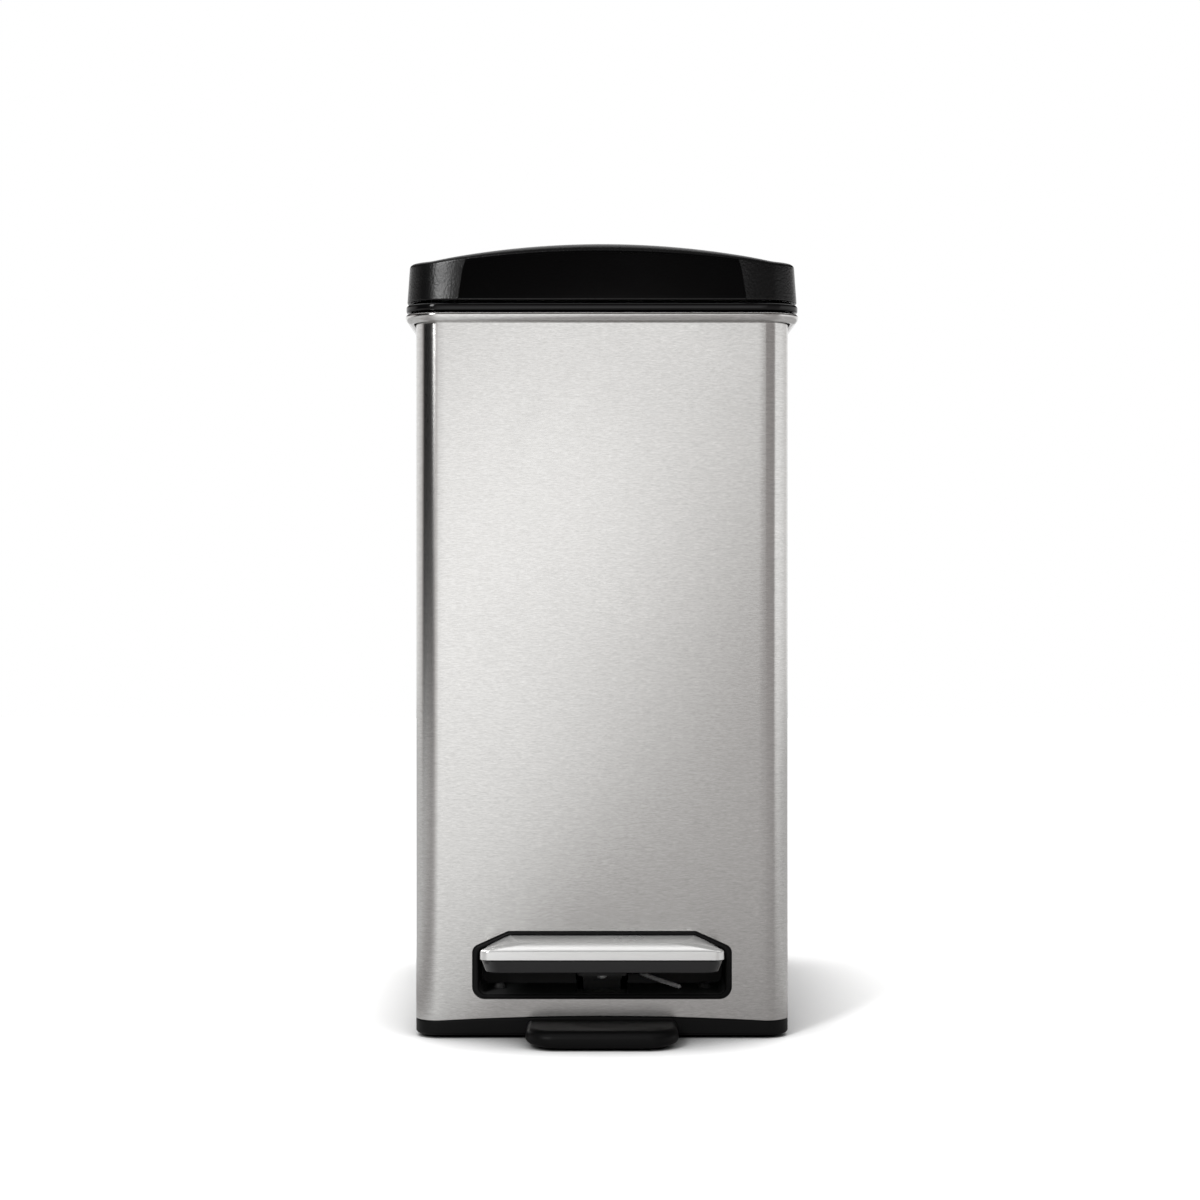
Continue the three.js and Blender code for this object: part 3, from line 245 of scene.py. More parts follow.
shell_low, shell_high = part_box("body_shell")
MID_Y = (shell_low.y + shell_high.y) / 2
FACE_X = 0.09
FACE_Y = 0.131
CORNER = 0.0115
FRONT = -FACE_Y
ARCH_RISE = 0.00215
ARCH_HALF = FACE_X - CORNER


def middle_of(box):
    """The middle of a plain solid's box, its depth measured from the can's middle."""
    return [(a + b) / 2 - start for a, b, start in zip(*box, (0, MID_Y, 0))]


def arc(x, y, rx, start, end, steps, ry=None):
    """Points on an arc, angles in degrees."""
    angles = [radians(start + (end - start) * k / steps) for k in range(steps + 1)]
    return [(x + rx * cos(a), y + (ry or rx) * sin(a)) for a in angles]


def outline(corners, steps=8, runs=(1,)):
    """A closed polygon: each corner (x, y, radius) becomes an arc, each straight run is divided evenly."""
    bends = []
    for i, (x, y, radius) in enumerate(corners):
        corner = Vector((x, y))
        if not radius:
            bends.append([corner])
            continue
        back = (Vector(corners[i - 1][:2]) - corner).normalized()
        onward = (Vector(corners[(i + 1) % len(corners)][:2]) - corner).normalized()
        half = back.angle(onward) / 2
        centre = corner + (back + onward).normalized() * radius / sin(half)
        first = corner + back * radius / tan(half) - centre
        last = corner + onward * radius / tan(half) - centre
        bends.append([centre + first.slerp(last, k / steps).normalized() * radius for k in range(steps + 1)])
    points = []
    for i, bend in enumerate(bends):
        divisions = runs[i % len(runs)]
        after = bends[(i + 1) % len(bends)][0]
        points += [tuple(p) for p in bend]
        points += [tuple(bend[-1].lerp(after, k / divisions)) for k in range(1, divisions)]
    return points


def plate_outline(x0, x1, y0, y1, radius, steps=8, runs=(1,)):
    return outline([(x0, y0, radius), (x1, y0, radius), (x1, y1, radius), (x0, y1, radius)], steps, runs)


def skin(name, rings, closed=False):
    """A mesh through rings of points, depths measured from the can's middle. Open ends get caps."""
    count = len(rings[0])
    faces = []
    for s in range(len(rings) if closed else len(rings) - 1):
        a, b = s * count, (s + 1) % len(rings) * count
        faces += [(a + i, a + (i + 1) % count, b + (i + 1) % count, b + i) for i in range(count)]
    if not closed:
        last = (len(rings) - 1) * count
        faces += [tuple(reversed(range(count))), tuple(range(last, last + count))]
    mesh = bpy.data.meshes.new(name)
    mesh.from_pydata([(x, y + MID_Y, z) for ring in rings for x, y, z in ring], [], faces)
    work = bmesh.new()
    work.from_mesh(mesh)
    if work.calc_volume(signed=True) < 0:
        bmesh.ops.reverse_faces(work, faces=work.faces)
    work.to_mesh(mesh)
    work.free()
    return put(name, mesh)


def across(axis, level, points):
    """Outline points in the plane across an axis, at one level along it."""
    if axis == "z":
        return [(u, v, level) for u, v in points]
    if axis == "y":
        return [(u, level, v) for u, v in points]
    return [(level, u, v) for u, v in points]


def stack(name, axis, shape, levels):
    """A mesh along an axis: shape(value) gives the outline at each (level, value)."""
    return skin(name, [across(axis, level, shape(value)) for level, value in levels])


def bar(name, axis, shape, start, end, edge=0.0):
    """A straight bar; shape(inset) gives its outline, and its two end edges are rounded by `edge`."""
    levels = [(start, 0.0), (end, 0.0)]
    if edge:
        turn = [(edge * (1 - cos(a)), edge * (1 - sin(a))) for a in (pi / 6 * k for k in range(4))]
        levels = [(start + depth, inset) for depth, inset in turn]
        levels += [(end - depth, inset) for depth, inset in reversed(turn)]
    return stack(name, axis, shape, levels)


def round_shape(x, y, radius, steps=32):
    return lambda inset: arc(x, y, radius - inset, 0, 360 - 360 / steps, steps - 1)


def plate_shape(x0, x1, y0, y1, radius=0.0, steps=6):
    return lambda inset: plate_outline(x0 + inset, x1 - inset, y0 + inset, y1 - inset,
                                       max(radius - inset, 0.00002) if radius else 0, steps)


def settle(piece):
    """Makes what the piece's modifiers do its own mesh."""
    graph = bpy.context.evaluated_depsgraph_get()
    result = bpy.data.meshes.new_from_object(piece.evaluated_get(graph))
    piece.modifiers.clear()
    piece.data = result


def combine(piece, tools, operation="DIFFERENCE"):
    """Cuts the tools out of the piece, or joins them to it, and removes them."""
    for tool in tools:
        step = piece.modifiers.new(operation.lower(), "BOOLEAN")
        step.operation = operation
        step.solver = "MANIFOLD"
        step.object = tool
    settle(piece)
    for tool in tools:
        bpy.data.objects.remove(tool)


def join(piece, tools):
    return combine(piece, tools, "UNION")


def fit(piece, body, slot, materials, *nodes, crease=32):
    """Shades the piece, gives it its finish, sets it on its moving body and hides the solids it stands for.
    A piece without a body is left unattached."""
    for face in piece.data.polygons:
        face.use_smooth = True
    piece.data.set_sharp_from_angle(angle=radians(crease))
    piece.modifiers.new("even shading", "WEIGHTED_NORMAL").keep_sharp = True
    settle(piece)
    for i, material in enumerate(materials):
        if i < len(piece.data.materials):
            piece.data.materials[i] = material
        else:
            piece.data.materials.append(material)
    if body:
        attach(piece, body)
    if nodes:
        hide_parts(*nodes)


def effect(name, title, size, outputs):
    """A shader node group with one named size and named number outputs. Gives the group, its node maker,
    the place on the piece, and that place in units of the size."""
    tree = bpy.data.node_groups.new(name, "ShaderNodeTree")
    kind = "NodeSocketVector" if isinstance(size, tuple) else "NodeSocketFloat"
    tree.interface.new_socket(title, in_out="INPUT", socket_type=kind).default_value = size
    for output in outputs:
        tree.interface.new_socket(output, in_out="OUTPUT", socket_type="NodeSocketFloat")
    node = node_maker(tree)
    place = node("TexCoord").outputs["Object"]
    given = node("NodeGroupInput").outputs[title]
    return tree, node, place, node("VectorMath", {"operation": "DIVIDE"}, i0=place, i1=given)


# Mould grain: a fine pebbled texture of any size, with a slow change of tone over the whole face.
mould_grain, node, place, fine = effect("mould grain", "Size", 0.0012, ["Height", "Tone"])
pebble = node("TexVoronoi", {"feature": "SMOOTH_F1"}, Vector=fine, Scale=1.0, Smoothness=0.6)
crumb = node("TexNoise", Vector=fine, Scale=1.7, Detail=3.0, Roughness=0.6)
slow = node("TexNoise", Vector=place, Scale=22.0, Detail=2.0, Roughness=0.5)
grain_height = mix(node, 0.55, maths(node, "SUBTRACT", 1.0, pebble.outputs["Distance"]), crumb)
grain_tone = mix(node, 0.35, crumb, slow)
node("NodeGroupOutput", Height=grain_height, Tone=grain_tone)

# Handling: soft smudges and faint dust that change how dull a face is.
handling, node, _, patch = effect("handling", "Size", 0.03, ["Mask"])
smudge = node("TexNoise", Vector=patch, Scale=1.0, Detail=4.0, Roughness=0.62, Distortion=0.4)
node("NodeGroupOutput", Mask=node("MapRange", eased, i0=smudge, i1=0.42, i2=0.68))


def use(node, group, **inputs):
    return node("Group", {"node_tree": group}, **inputs).outputs


def tint(node, factor, dark, light):
    """A colour between two, picked by a number."""
    return node("Mix", {"data_type": "RGBA"}, i0=factor, i6=(*dark, 1), i7=(*light, 1)).outputs[2]


def bump(node, height, distance):
    return node("Bump", Height=height, Distance=distance, Strength=1.0)


def moulded(name, dark, light, dull, grain, depth, coat=0.0, gloss=0.5):
    """A moulded plastic: the two ends of its colour, its dullness, and the size and depth of its grain."""
    material, node = new_material(name)
    skin_grain = use(node, mould_grain, Size=grain)
    marks = use(node, handling, Size=0.05)["Mask"]
    shader = node("BsdfPrincipled", Base_Color=tint(node, skin_grain["Tone"], dark, light),
                  Roughness=mix(node, marks, dull * 0.92, min(dull * 1.18, 1.0)),
                  Normal=bump(node, skin_grain["Height"], depth),
                  Specular_IOR_Level=gloss, Coat_Weight=coat, Coat_Roughness=0.08)
    node("OutputMaterial", Surface=shader)
    return material


def bands(rows, arched=0.0):
    """The can's outline at each (offset from the steel's face, height); `arched` lifts its front."""
    rings = []
    for offset, z in rows:
        x, y = FACE_X + offset, FACE_Y + offset
        points = plate_outline(-x, x, -y, y, CORNER + offset, 10, (48, 24))
        rings.append([(px, py, z + arched * ARCH_RISE * max(0.0, 1 - (px / ARCH_HALF) ** 2)
                       * (py < FRONT + 0.005)) for px, py in points])
    return rings


FLOOR_GAP = 0.0015
STEEL_LOW = 0.0086
SEAT = STEEL_LOW - 0.0003
UPSTAND = 0.026
TOE_FRONT, TOE_TOP, TOE_HALF, TOE_CORNER, TOE_ROUND = -0.165, 0.009, 0.0362, 0.013, 0.0034
_, DAMPER_Y, _ = middle_of(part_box("damper_cylinder"))
DAMPER_LOW = 0.04
POST_X, POST_Y = 0.05, -0.112
FOOT_PLACES = [(x, y) for x in (-0.066, 0.066) for y in (-0.108, 0.108)]
POCKET = 0.0083
UNDERSIDE = -0.001
POCKET_TOP = 0.0035

black_moulding = moulded("black moulding", (0.0026, 0.0026, 0.0027),
                         (0.0048, 0.0048, 0.0049), 0.46, 0.0007, 0.00004, gloss=0.16)

wall = bands(arc(-0.0016, FLOOR_GAP + 0.0016, 0.0016, -90, 0, 5))
wall += bands([(0, SEAT - 0.0008), *arc(-0.0004, SEAT - 0.0004, 0.0004, 0, 90, 3), (-0.0011, SEAT)], 1.0)
wall += bands([
    (-0.0011, 0.0115), (-0.0011, UPSTAND - 0.002), (-0.0013, UPSTAND - 0.0008), (-0.0019, UPSTAND),
    (-0.0032, UPSTAND), (-0.0037, UPSTAND - 0.0006), (-0.0037, 0.0062), (-0.0042, 0.005), (-0.0056, 0.0045)])
base = skin("base_moulding", wall)


def toe_ring(side, ahead, z):
    """The toe's plan, drawn in by `side` at its ends and by `ahead` at its front."""
    points = plate_outline(-TOE_HALF, TOE_HALF, TOE_FRONT, FRONT + 0.016, TOE_CORNER, 14, (12, 6))
    return [(x * (1 - side / TOE_HALF), y + ahead * (y < FRONT), z) for x, y in points]


toe = [toe_ring(0.0045 * (1 - cos(a)), 0.0012 * (1 - cos(a)), FLOOR_GAP + TOE_ROUND * (1 + sin(a)))
       for a in (radians(k * 10 - 90) for k in range(9))]
toe += [toe_ring(0.0028 * (1 - cos(a)) + 0.0002, 0.0055 * (1 - cos(a)), TOE_TOP - TOE_ROUND * (1 - sin(a)))
        for a in (radians(k * 9) for k in range(11))]
join(base, [
    skin("toe", toe),
    bar("damper_boss", "z", round_shape(0, DAMPER_Y, 0.0076), POCKET_TOP, DAMPER_LOW - 0.0003, 0.0005),
    *(bar("post", "z", round_shape(s * POST_X, POST_Y, 0.004), POCKET_TOP, 0.017, 0.0004) for s in (-1, 1)),
])
combine(base, [
    bar("damper_hole", "z", round_shape(0, DAMPER_Y, 0.0034), DAMPER_LOW - 0.005, 0.05),
    *(bar("post_hole", "z", round_shape(s * POST_X, POST_Y, 0.0015, 16), 0.008, 0.02) for s in (-1, 1)),
    *(bar("pocket", "z", round_shape(x, y, POCKET), UNDERSIDE, POCKET_TOP) for x, y in FOOT_PLACES),
    bar("pad_pocket", "z", plate_shape(-0.0223, 0.0223, -0.1573, -0.1467, 0.0053), UNDERSIDE, POCKET_TOP),
    *(bar("screw_hole", "z", round_shape(s * x, y, 0.0015, 16), 0.0033, 0.006)
      for s in (-1, 1) for x, y in ((0.022, 0.106), (0.03, -0.066))),
    bar("window_gap", "y", plate_shape(-0.0662, 0.0662, 0.0163, 0.03), FRONT + 0.0005, FRONT + 0.006),
])
fit(base, "can", "black_moulded", [black_moulding], "base")

# ------ feet
# Four round rubber feet and a long pad under the toe, pushed into pockets of the base so that the can
# grips the floor. Soft black rubber, dull, with a shallow hollow moulded under each foot.

rubber = moulded("black rubber", (0.01, 0.01, 0.01),
                 (0.017, 0.017, 0.017), 0.78, 0.0005, 0.00002, gloss=0.35)


def lathe(name, x, y, profile, steps=32):
    """A turned piece standing at x, y; the profile is (radius, height) pairs from the bottom up."""
    return skin(name, [[(px, py, z) for px, py in arc(x, y, max(r, 0.00005), 0, 360 - 360 / steps, steps - 1)]
                       for r, z in profile])


FOOT_PROFILE = [(0.0046, 0.0004), (0.0052, 0.0), (0.0074, 0.0), (0.0079, 0.0003), (0.008, 0.0009),
                (0.008, 0.0029), (0.0078, 0.0032)]
for name, (x, y) in zip(("front_left", "back_left", "front_right", "back_right"), FOOT_PLACES):
    foot = lathe(f"foot_{name}", x, y, FOOT_PROFILE)
    fit(foot, "can", "rubber", [rubber], f"rubber_foot_{name}")
toe_pad = bar("toe_grip", "z", plate_shape(-0.022, 0.022, -0.157, -0.147, 0.005), 0.0, 0.0032, 0.0004)
fit(toe_pad, "can", "rubber", [rubber], "toe_pad")

# ------ pivot bracket, axle and lever
# Pressed mild steel in black stoving paint: a floor bracket, and a channel-section lever that turns on a
# plated axle. Plastic caps keep the axle in place, and zinc-plated screws hold the bracket to the base.

painted_steel, node = new_material("black stoved steel")
peel = use(node, mould_grain, Size=0.0009)
stoved = tint(node, peel["Tone"], (0.026, 0.026, 0.026), (0.034, 0.034, 0.034))
shader = node("BsdfPrincipled", Base_Color=stoved,
              Roughness=mix(node, use(node, handling, Size=0.02)["Mask"], 0.6, 0.72),
              Normal=bump(node, peel["Height"], 0.00002))
node("OutputMaterial", Surface=shader)


def plated(name, dark, light, metal, smooth, dull):
    """Bright plating on steel: faint cloudy bloom between two tones and two degrees of dullness."""
    material, node = new_material(name)
    bloom = use(node, handling, Size=0.004)["Mask"]
    shader = node("BsdfPrincipled", Base_Color=tint(node, bloom, dark, light), Metallic=metal,
                  Roughness=mix(node, bloom, smooth, dull),
                  Normal=bump(node, use(node, mould_grain, Size=0.0003)["Height"], 0.000004))
    node("OutputMaterial", Surface=shader)
    return material


zinc = plated("zinc plate", (0.5, 0.51, 0.52), (0.66, 0.66, 0.65), 1.0, 0.22, 0.38)
dull_moulding = moulded("dull black moulding", (0.0042, 0.0042, 0.0044),
                        (0.0075, 0.0075, 0.0077), 0.55, 0.0006, 0.00003, gloss=0.15)


def keep(material, *names):
    """A plain solid whose shape is right stays, with its real finish."""
    for name in names:
        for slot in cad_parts[name].material_slots:
            slot.material = material


keep(painted_steel, "pivot_bracket", "pedal_lever")
keep(zinc, "pivot_axle", "lever_pin", "bracket_screw_left", "bracket_screw_right")
keep(dull_moulding, "axle_cap_left", "axle_cap_right")

# ------ steel wrapper
# One sheet of brushed stainless, 0.8 mm thick, bent round the base and welded at the back. Its top edge is
# curled outward into an open hem. Its lower front edge is a shallow arch, and a window is punched in it.

SHEET = 0.0008
BEAD_OUT, BEAD_LOW, BEAD_CREST, BEAD_TOP = 0.005, 0.3438, 0.3471, 0.3488
HEM_ENDS = -108
BURR = 0.00028
PUNCH_EDGE = 0.00015

brushed_grain, node, _, drawn = effect("brushed grain", "Grain", (0.008, 0.008, 0.0004), ["Height", "Tone"])
dashes = node("TexNoise", Vector=drawn, Scale=1.0, Detail=2.0, Roughness=0.7)
longer = node("VectorMath", {"operation": "SCALE"}, i0=drawn, Scale=0.31)
lines = node("TexNoise", Vector=longer, Scale=1.0, Detail=1.0, Roughness=0.5)
node("NodeGroupOutput", Height=mix(node, 0.15, dashes, lines), Tone=mix(node, 0.2, dashes, lines))


def brushed(name, grain, dark, light, dull, depth, metal=1.0):
    """Brushed stainless: its grain's size along x, y and z, its tones, its dullness and its depth."""
    material, node = new_material(name)
    lay = use(node, brushed_grain, Grain=grain)
    marks = use(node, handling, Size=0.09)["Mask"]
    cloud = node("MapRange", i0=lay["Tone"], i1=0.3, i2=0.7)
    shader = node("BsdfPrincipled", Base_Color=tint(node, cloud, dark, light), Metallic=metal,
                  Roughness=mix(node, marks, dull, dull * 1.06), Normal=bump(node, lay["Height"], depth),
                  Tangent=node("Tangent", {"direction_type": "RADIAL", "axis": "Z"}),
                  Anisotropic=0.6, Anisotropic_Rotation=0.25)
    node("OutputMaterial", Surface=shader)
    return material


stainless = brushed("brushed stainless", (0.0026, 0.0026, 0.00038), (0.555, 0.548, 0.535),
                    (0.725, 0.718, 0.705), 0.18, 0.000005)

# Half width, sill, shoulder height, top, and half width of the top.
WINDOW = (0.0622, 0.0191, 0.0439, 0.0516, 0.045)


def window_outline(grow, size=WINDOW, sill_round=0.006, shoulder_grows=True):
    """The pedal window, wider by `grow` all round: upright sides, slanting shoulders and a level top."""
    half, sill, shoulder, top, half_top = size
    x, low, slope, tip = half + grow, sill - grow, shoulder + grow * 0.6, half_top + grow * 0.25
    bend = 0.004 + grow * shoulder_grows
    return outline([(-x, low, sill_round + grow), (x, low, sill_round + grow), (x, slope, bend),
                    (tip, top + grow, 0.003), (-tip, top + grow, 0.003), (-x, slope, bend)], 8)


def hem_curl(depth, start, end, steps):
    """The hem's section at a depth in the sheet: tight over its crest, fuller below it."""
    half = (BEAD_OUT + SHEET) / 2
    above, below = BEAD_TOP - BEAD_CREST - depth, BEAD_CREST - BEAD_LOW - depth
    return [(BEAD_OUT - half + (half - depth) * u, BEAD_CREST + (above if v > 0 else below) * v)
            for u, v in arc(0, 0, 1, start, end, steps)]


edge = [(-SHEET, STEEL_LOW), (-BURR, STEEL_LOW), (-BURR * 0.3, STEEL_LOW + BURR * 0.3), (0, STEEL_LOW + BURR)]
profile = [(-SHEET, 0.32)] + hem_curl(0, 180, HEM_ENDS, 32) + hem_curl(SHEET, HEM_ENDS, 180, 24) + [(0, 0.32)]
shell = skin("steel_wrapper", bands(profile) + bands(reversed(edge), 1.0), closed=True)
punch = [(FRONT - 0.002, PUNCH_EDGE), (FRONT, PUNCH_EDGE), (FRONT + PUNCH_EDGE, 0), (FRONT + 0.004, 0)]
combine(shell, [stack("window_punch", "y", window_outline, punch)])
fit(shell, "can", "stainless", [stainless], "body_shell", crease=20)

# ------ pedal housing
# A black moulding pushed into the window from inside: a lip that stands proud of the steel, a flange behind
# it, and a box open to the front. The lever comes through a slot in its back and rests in a sunk pan in its
# floor, which ends in a short tongue. Two screws in the floor hold it to posts on the base.

HOUSING_ROOM = (0.0592, 0.0212, 0.0424, 0.0498, 0.0443)
HOUSING_BACK = -0.094
HOUSING_WALL = 0.0019
PAN_LOW, PAN_TOP = 0.0155, 0.0222


def housing_outline(grow):
    return window_outline(grow, HOUSING_ROOM, 0.004, False)


behind = FRONT + SHEET + 0.0003
lip_face = FRONT - 0.0005
lip = [(lip_face, -0.0015), (lip_face + 0.0001, -0.001), (lip_face + 0.0003, -0.0006),
       (lip_face + 0.0006, -0.0004), (lip_face + 0.001, -0.0003), (behind + 0.001, -0.0003)]
housing = stack("pedal_surround", "y", window_outline, lip)
well_out = HOUSING_WALL - 0.0004
join(housing, [
    stack("flange", "y", window_outline, [(behind, 0.0026), (behind + 0.0018, 0.0026)]),
    stack("well", "y", housing_outline, [(behind, well_out), (HOUSING_BACK, well_out)]),
    *(bar("tab", "z", round_shape(s * POST_X, POST_Y, 0.004), 0.0173, 0.0207) for s in (-1, 1)),
    bar("pan", "z", plate_shape(-0.014, 0.014, -0.1265, -0.0898, 0.002), PAN_LOW, PAN_TOP),
])
mouth_cut = [(FRONT - 0.005, 0.001), (lip_face, 0.001), (lip_face + 0.0001, 0.0006),
             (lip_face + 0.0004, 0.0002), (lip_face + 0.0009, 0), (HOUSING_BACK - HOUSING_WALL, 0)]
through = HOUSING_BACK - 0.005, HOUSING_BACK + 0.005
combine(housing, [
    stack("mouth", "y", housing_outline, mouth_cut),
    bar("lever_slot", "y", plate_shape(-0.013, 0.013, PAN_TOP, 0.0314, 0.001), *through),
    bar("leg_slot", "y", plate_shape(0.012, 0.0206, 0.0254, 0.0304, 0.001), *through),
    bar("floor_pan", "z", plate_shape(-0.0125, 0.0125, -0.125, through[1], 0.0015), 0.017, 0.0242),
    *(bar("hole", "z", round_shape(s * POST_X, POST_Y, 0.0017, 16), 0.01, 0.0232) for s in (-1, 1)),
])
join(housing, [bar("tongue", "y", plate_shape(-0.0092, 0.0092, 0.016, 0.023, 0.001), -0.0925, -0.0908)])
# The faces inside the housing are painted about ten times lighter than its lip, lifting the shade in the box:
# painted light.
shade_lifting_inside_moulding = moulded("dull inside moulding", (0.048, 0.048, 0.048),
                          (0.06, 0.06, 0.06), 0.72, 0.0006, 0.00003, gloss=0.1)
for face in housing.data.polygons:
    x, y, z = face.center
    within = y - MID_Y > lip_face + 0.0009 and abs(x) < HOUSING_ROOM[0] and z > PAN_LOW + 0.001
    face.material_index = 1 if within else 0
fit(housing, "can", "black_moulded", [dull_moulding, shade_lifting_inside_moulding], "pedal_housing")
keep(painted_steel, "housing_screw_left", "housing_screw_right")

# ------ felt pad
# A strip of pale grey felt in the housing's sunk pan, under the lever, so that the step lands without a
# knock; its pale grey is painted light, lifting the shade of the dark pan. It is thin sheet, cut to the pan
# and glued down. A short plate closes the lever's channel above it.

# The felt's pale grey is painted light: it lifts the shade of the dark pan.
shade_lifting_felt = moulded("grey felt", (0.22, 0.22, 0.22), (0.3, 0.3, 0.29), 0.95, 0.0004, 0.00006, gloss=0.1)
pad = bar("felt_pad", "z", plate_shape(-0.0123, 0.0123, -0.1248, -0.093, 0.0012), 0.0171, 0.0178, 0.0001)
fit(pad, "can", "grey_moulded", [shade_lifting_felt])
nose = bar("lever_nose", "y", plate_shape(-0.0098, 0.0098, 0.0232, 0.0286, 0.0012), -0.0972, -0.096, 0.0002)
fit(nose, "pedal", "black_steel", [painted_steel])

# ------ rod channel and damper
# An upright black moulding at the back guides the lift rod. Behind the rod stands a small oil damper that
# lets the lid down slowly: a white cylinder, a black cap and a plated plunger with a crosshead on the rod.

damper_white = moulded("damper white", (0.62, 0.63, 0.6), (0.7, 0.71, 0.68), 0.38, 0.0008, 0.00001)
keep(dull_moulding, "rod_channel", "damper_cap", "damper_crosshead")
keep(damper_white, "damper_cylinder")
keep(zinc, "damper_plunger", "channel_screw_left", "channel_screw_right")

# ------ lift rod
# A plated steel rod pressed into two black mouldings: a foot that the lever pin lifts, and a yoke whose
# level slot carries the crank pin of the lid.

keep(zinc, "lift_rod")
keep(dull_moulding, "rod_yoke", "rod_foot")

# ------ top collar
# A glossy black moulding closes the top of the steel: a skirt inside the sheet, a deck that sits on the hem,
# the rebated mouth for the bucket with two finger scoops, and two hinge ears at the back.

DECK_LOW, DECK_TOP, DECK_OUT = 0.3491, 0.3527, 0.00475
SKIRT_LOW = 0.33
MOUTH_X, MOUTH_FRONT, MOUTH_BACK, MOUTH_CORNER = 0.081, -0.122, 0.092, 0.009
REBATE = 0.004
REBATE_LOW = DECK_LOW + 0.0014
_, HINGE_Y, HINGE_Z = middle_of(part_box("hinge_pin_right"))
PIN_R = 0.002
PIN_BORE = PIN_R + 0.00008
EAR_X, EAR_HALF, EAR_ROUND = 0.062, 0.0054, 0.0062

gloss_black = moulded("gloss black moulding", (0.0028, 0.0028, 0.003),
                      (0.0042, 0.0042, 0.0044), 0.12, 0.0016, 0.000003, gloss=0.3)


def mouth(grow):
    return plate_outline(-MOUTH_X - grow, MOUTH_X + grow, MOUTH_FRONT - grow, MOUTH_BACK + grow,
                         MOUTH_CORNER + grow, 10)


deck = [(DECK_OUT - 0.0009, DECK_LOW)]
deck += [(DECK_OUT - 0.0009 + a, b) for a, b in arc(0, DECK_LOW + 0.0011, 0.0009, -60, 0, 4, 0.0011)]
deck += [(DECK_OUT - 0.0013 + a, b) for a, b in arc(0, DECK_TOP - 0.0015, 0.0013, 10, 90, 7, 0.0015)]
collar = skin("top_surround", bands(deck))
inside = SHEET + 0.0003
skirt = [(-inside - 0.0018, SKIRT_LOW), (-inside - 0.0005, SKIRT_LOW), (-inside, SKIRT_LOW + 0.002),
         (-inside, DECK_LOW + 0.001), (-inside - 0.0018, DECK_LOW + 0.001)]
scoop_x, scoop_half = MOUTH_X + REBATE, 0.0032
under, over = DECK_LOW - 0.001, DECK_TOP + 0.001
rebate = [(REBATE_LOW, REBATE), (DECK_TOP - 0.0004, REBATE), (DECK_TOP, REBATE + 0.0003),
          (over, REBATE + 0.0003)]
combine(collar, [
    stack("mouth", "z", mouth, [(under, 0), (over, 0)]),
    stack("rebate", "z", mouth, rebate),
    *(bar("scoop", "z", plate_shape(s * scoop_x - scoop_half, s * scoop_x + scoop_half, -0.046, 0.016, 0.003),
          REBATE_LOW, over) for s in (-1, 1)),
    bar("rod_slot", "z", plate_shape(-0.0115, 0.0115, 0.0985, 0.115, 0.002), under, over),
])
join(collar, [skin("skirt", bands(skirt), closed=True)])
for s in (-1, 1):
    ear = [(HINGE_Y - 0.005, DECK_LOW + 0.001), (HINGE_Y + 0.005, DECK_LOW + 0.001)]
    ear += arc(HINGE_Y, HINGE_Z, EAR_ROUND, -30, 210, 24)
    inner = [(HINGE_Y + (y - HINGE_Y) * 0.93, HINGE_Z + (z - HINGE_Z) * 0.93 if z > DECK_TOP else z)
             for y, z in ear]
    ear_rings = [(-EAR_HALF, inner), (-EAR_HALF + 0.0005, ear), (EAR_HALF - 0.0005, ear), (EAR_HALF, inner)]
    join(collar, [skin("ear", [across("x", s * EAR_X + x, points) for x, points in ear_rings])])
    bore = round_shape(HINGE_Y, HINGE_Z, PIN_BORE)
    combine(collar, [bar("pin_hole", "x", bore, s * EAR_X - 0.008, s * EAR_X + 0.008)])
fit(collar, "can", "black_gloss", [gloss_black], "top_collar")

# ------ bucket
# The lift-out inner bucket: grey polypropylene with a tapered, round-cornered wall and a flange that hangs
# in the collar's rebate. The wall stands upright near its top, where it fits the mouth.

BUCKET_FLOOR, BUCKET_TAPER, BUCKET_WALL = 0.06, 0.007, 0.0018
BUCKET_PLAY = 0.0006
bucket_grey = moulded("bucket grey", (0.062, 0.064, 0.067), (0.078, 0.08, 0.084), 0.48, 0.0011, 0.00004)


def bucket_ring(shrink, z):
    x = MOUTH_X - BUCKET_PLAY - shrink
    return across("z", z, plate_outline(-x, x, MOUTH_FRONT + BUCKET_PLAY + shrink,
                                        MOUTH_BACK - BUCKET_PLAY - shrink, MOUTH_CORNER + 0.006, 10))


lip_low = REBATE_LOW + 0.0003
lip_top = lip_low + 0.0017
hung = REBATE - 0.0005
flange = [(lip_low, hung - 0.0002), (lip_low + 0.0003, hung), (lip_low + 0.0013, hung),
          (lip_top, hung - 0.0004)]
bend_low = lip_low - 0.012
outside = [(BUCKET_TAPER + 0.003, BUCKET_FLOOR), (BUCKET_TAPER + 0.0012, BUCKET_FLOOR + 0.001),
           (BUCKET_TAPER, BUCKET_FLOOR + 0.004), (0, bend_low), (0, lip_top)]
taper_in, edge_in = BUCKET_TAPER + BUCKET_WALL, BUCKET_WALL - 0.0006
within = [(taper_in + 0.0035, BUCKET_FLOOR + BUCKET_WALL), (taper_in + 0.001, BUCKET_FLOOR + 0.0026),
          (taper_in, BUCKET_FLOOR + 0.0052), (BUCKET_WALL, bend_low), (BUCKET_WALL, lip_top - 0.0006),
          (edge_in, lip_top), (edge_in, lip_top + 0.001)]
bucket = skin("inner_bucket", [bucket_ring(shrink, z) for shrink, z in outside])
join(bucket, [stack("flange", "z", mouth, flange)])
combine(bucket, [skin("room", [bucket_ring(shrink, z) for shrink, z in within])])
fit(bucket, "can", "bucket_grey", [bucket_grey], "bucket")

# ------ lid
# One heavy black moulding, grained all over except for the polished flat front. It is arched across the can
# and falls level at the hinge, where its back is rounded about the pins so that it can swing up.

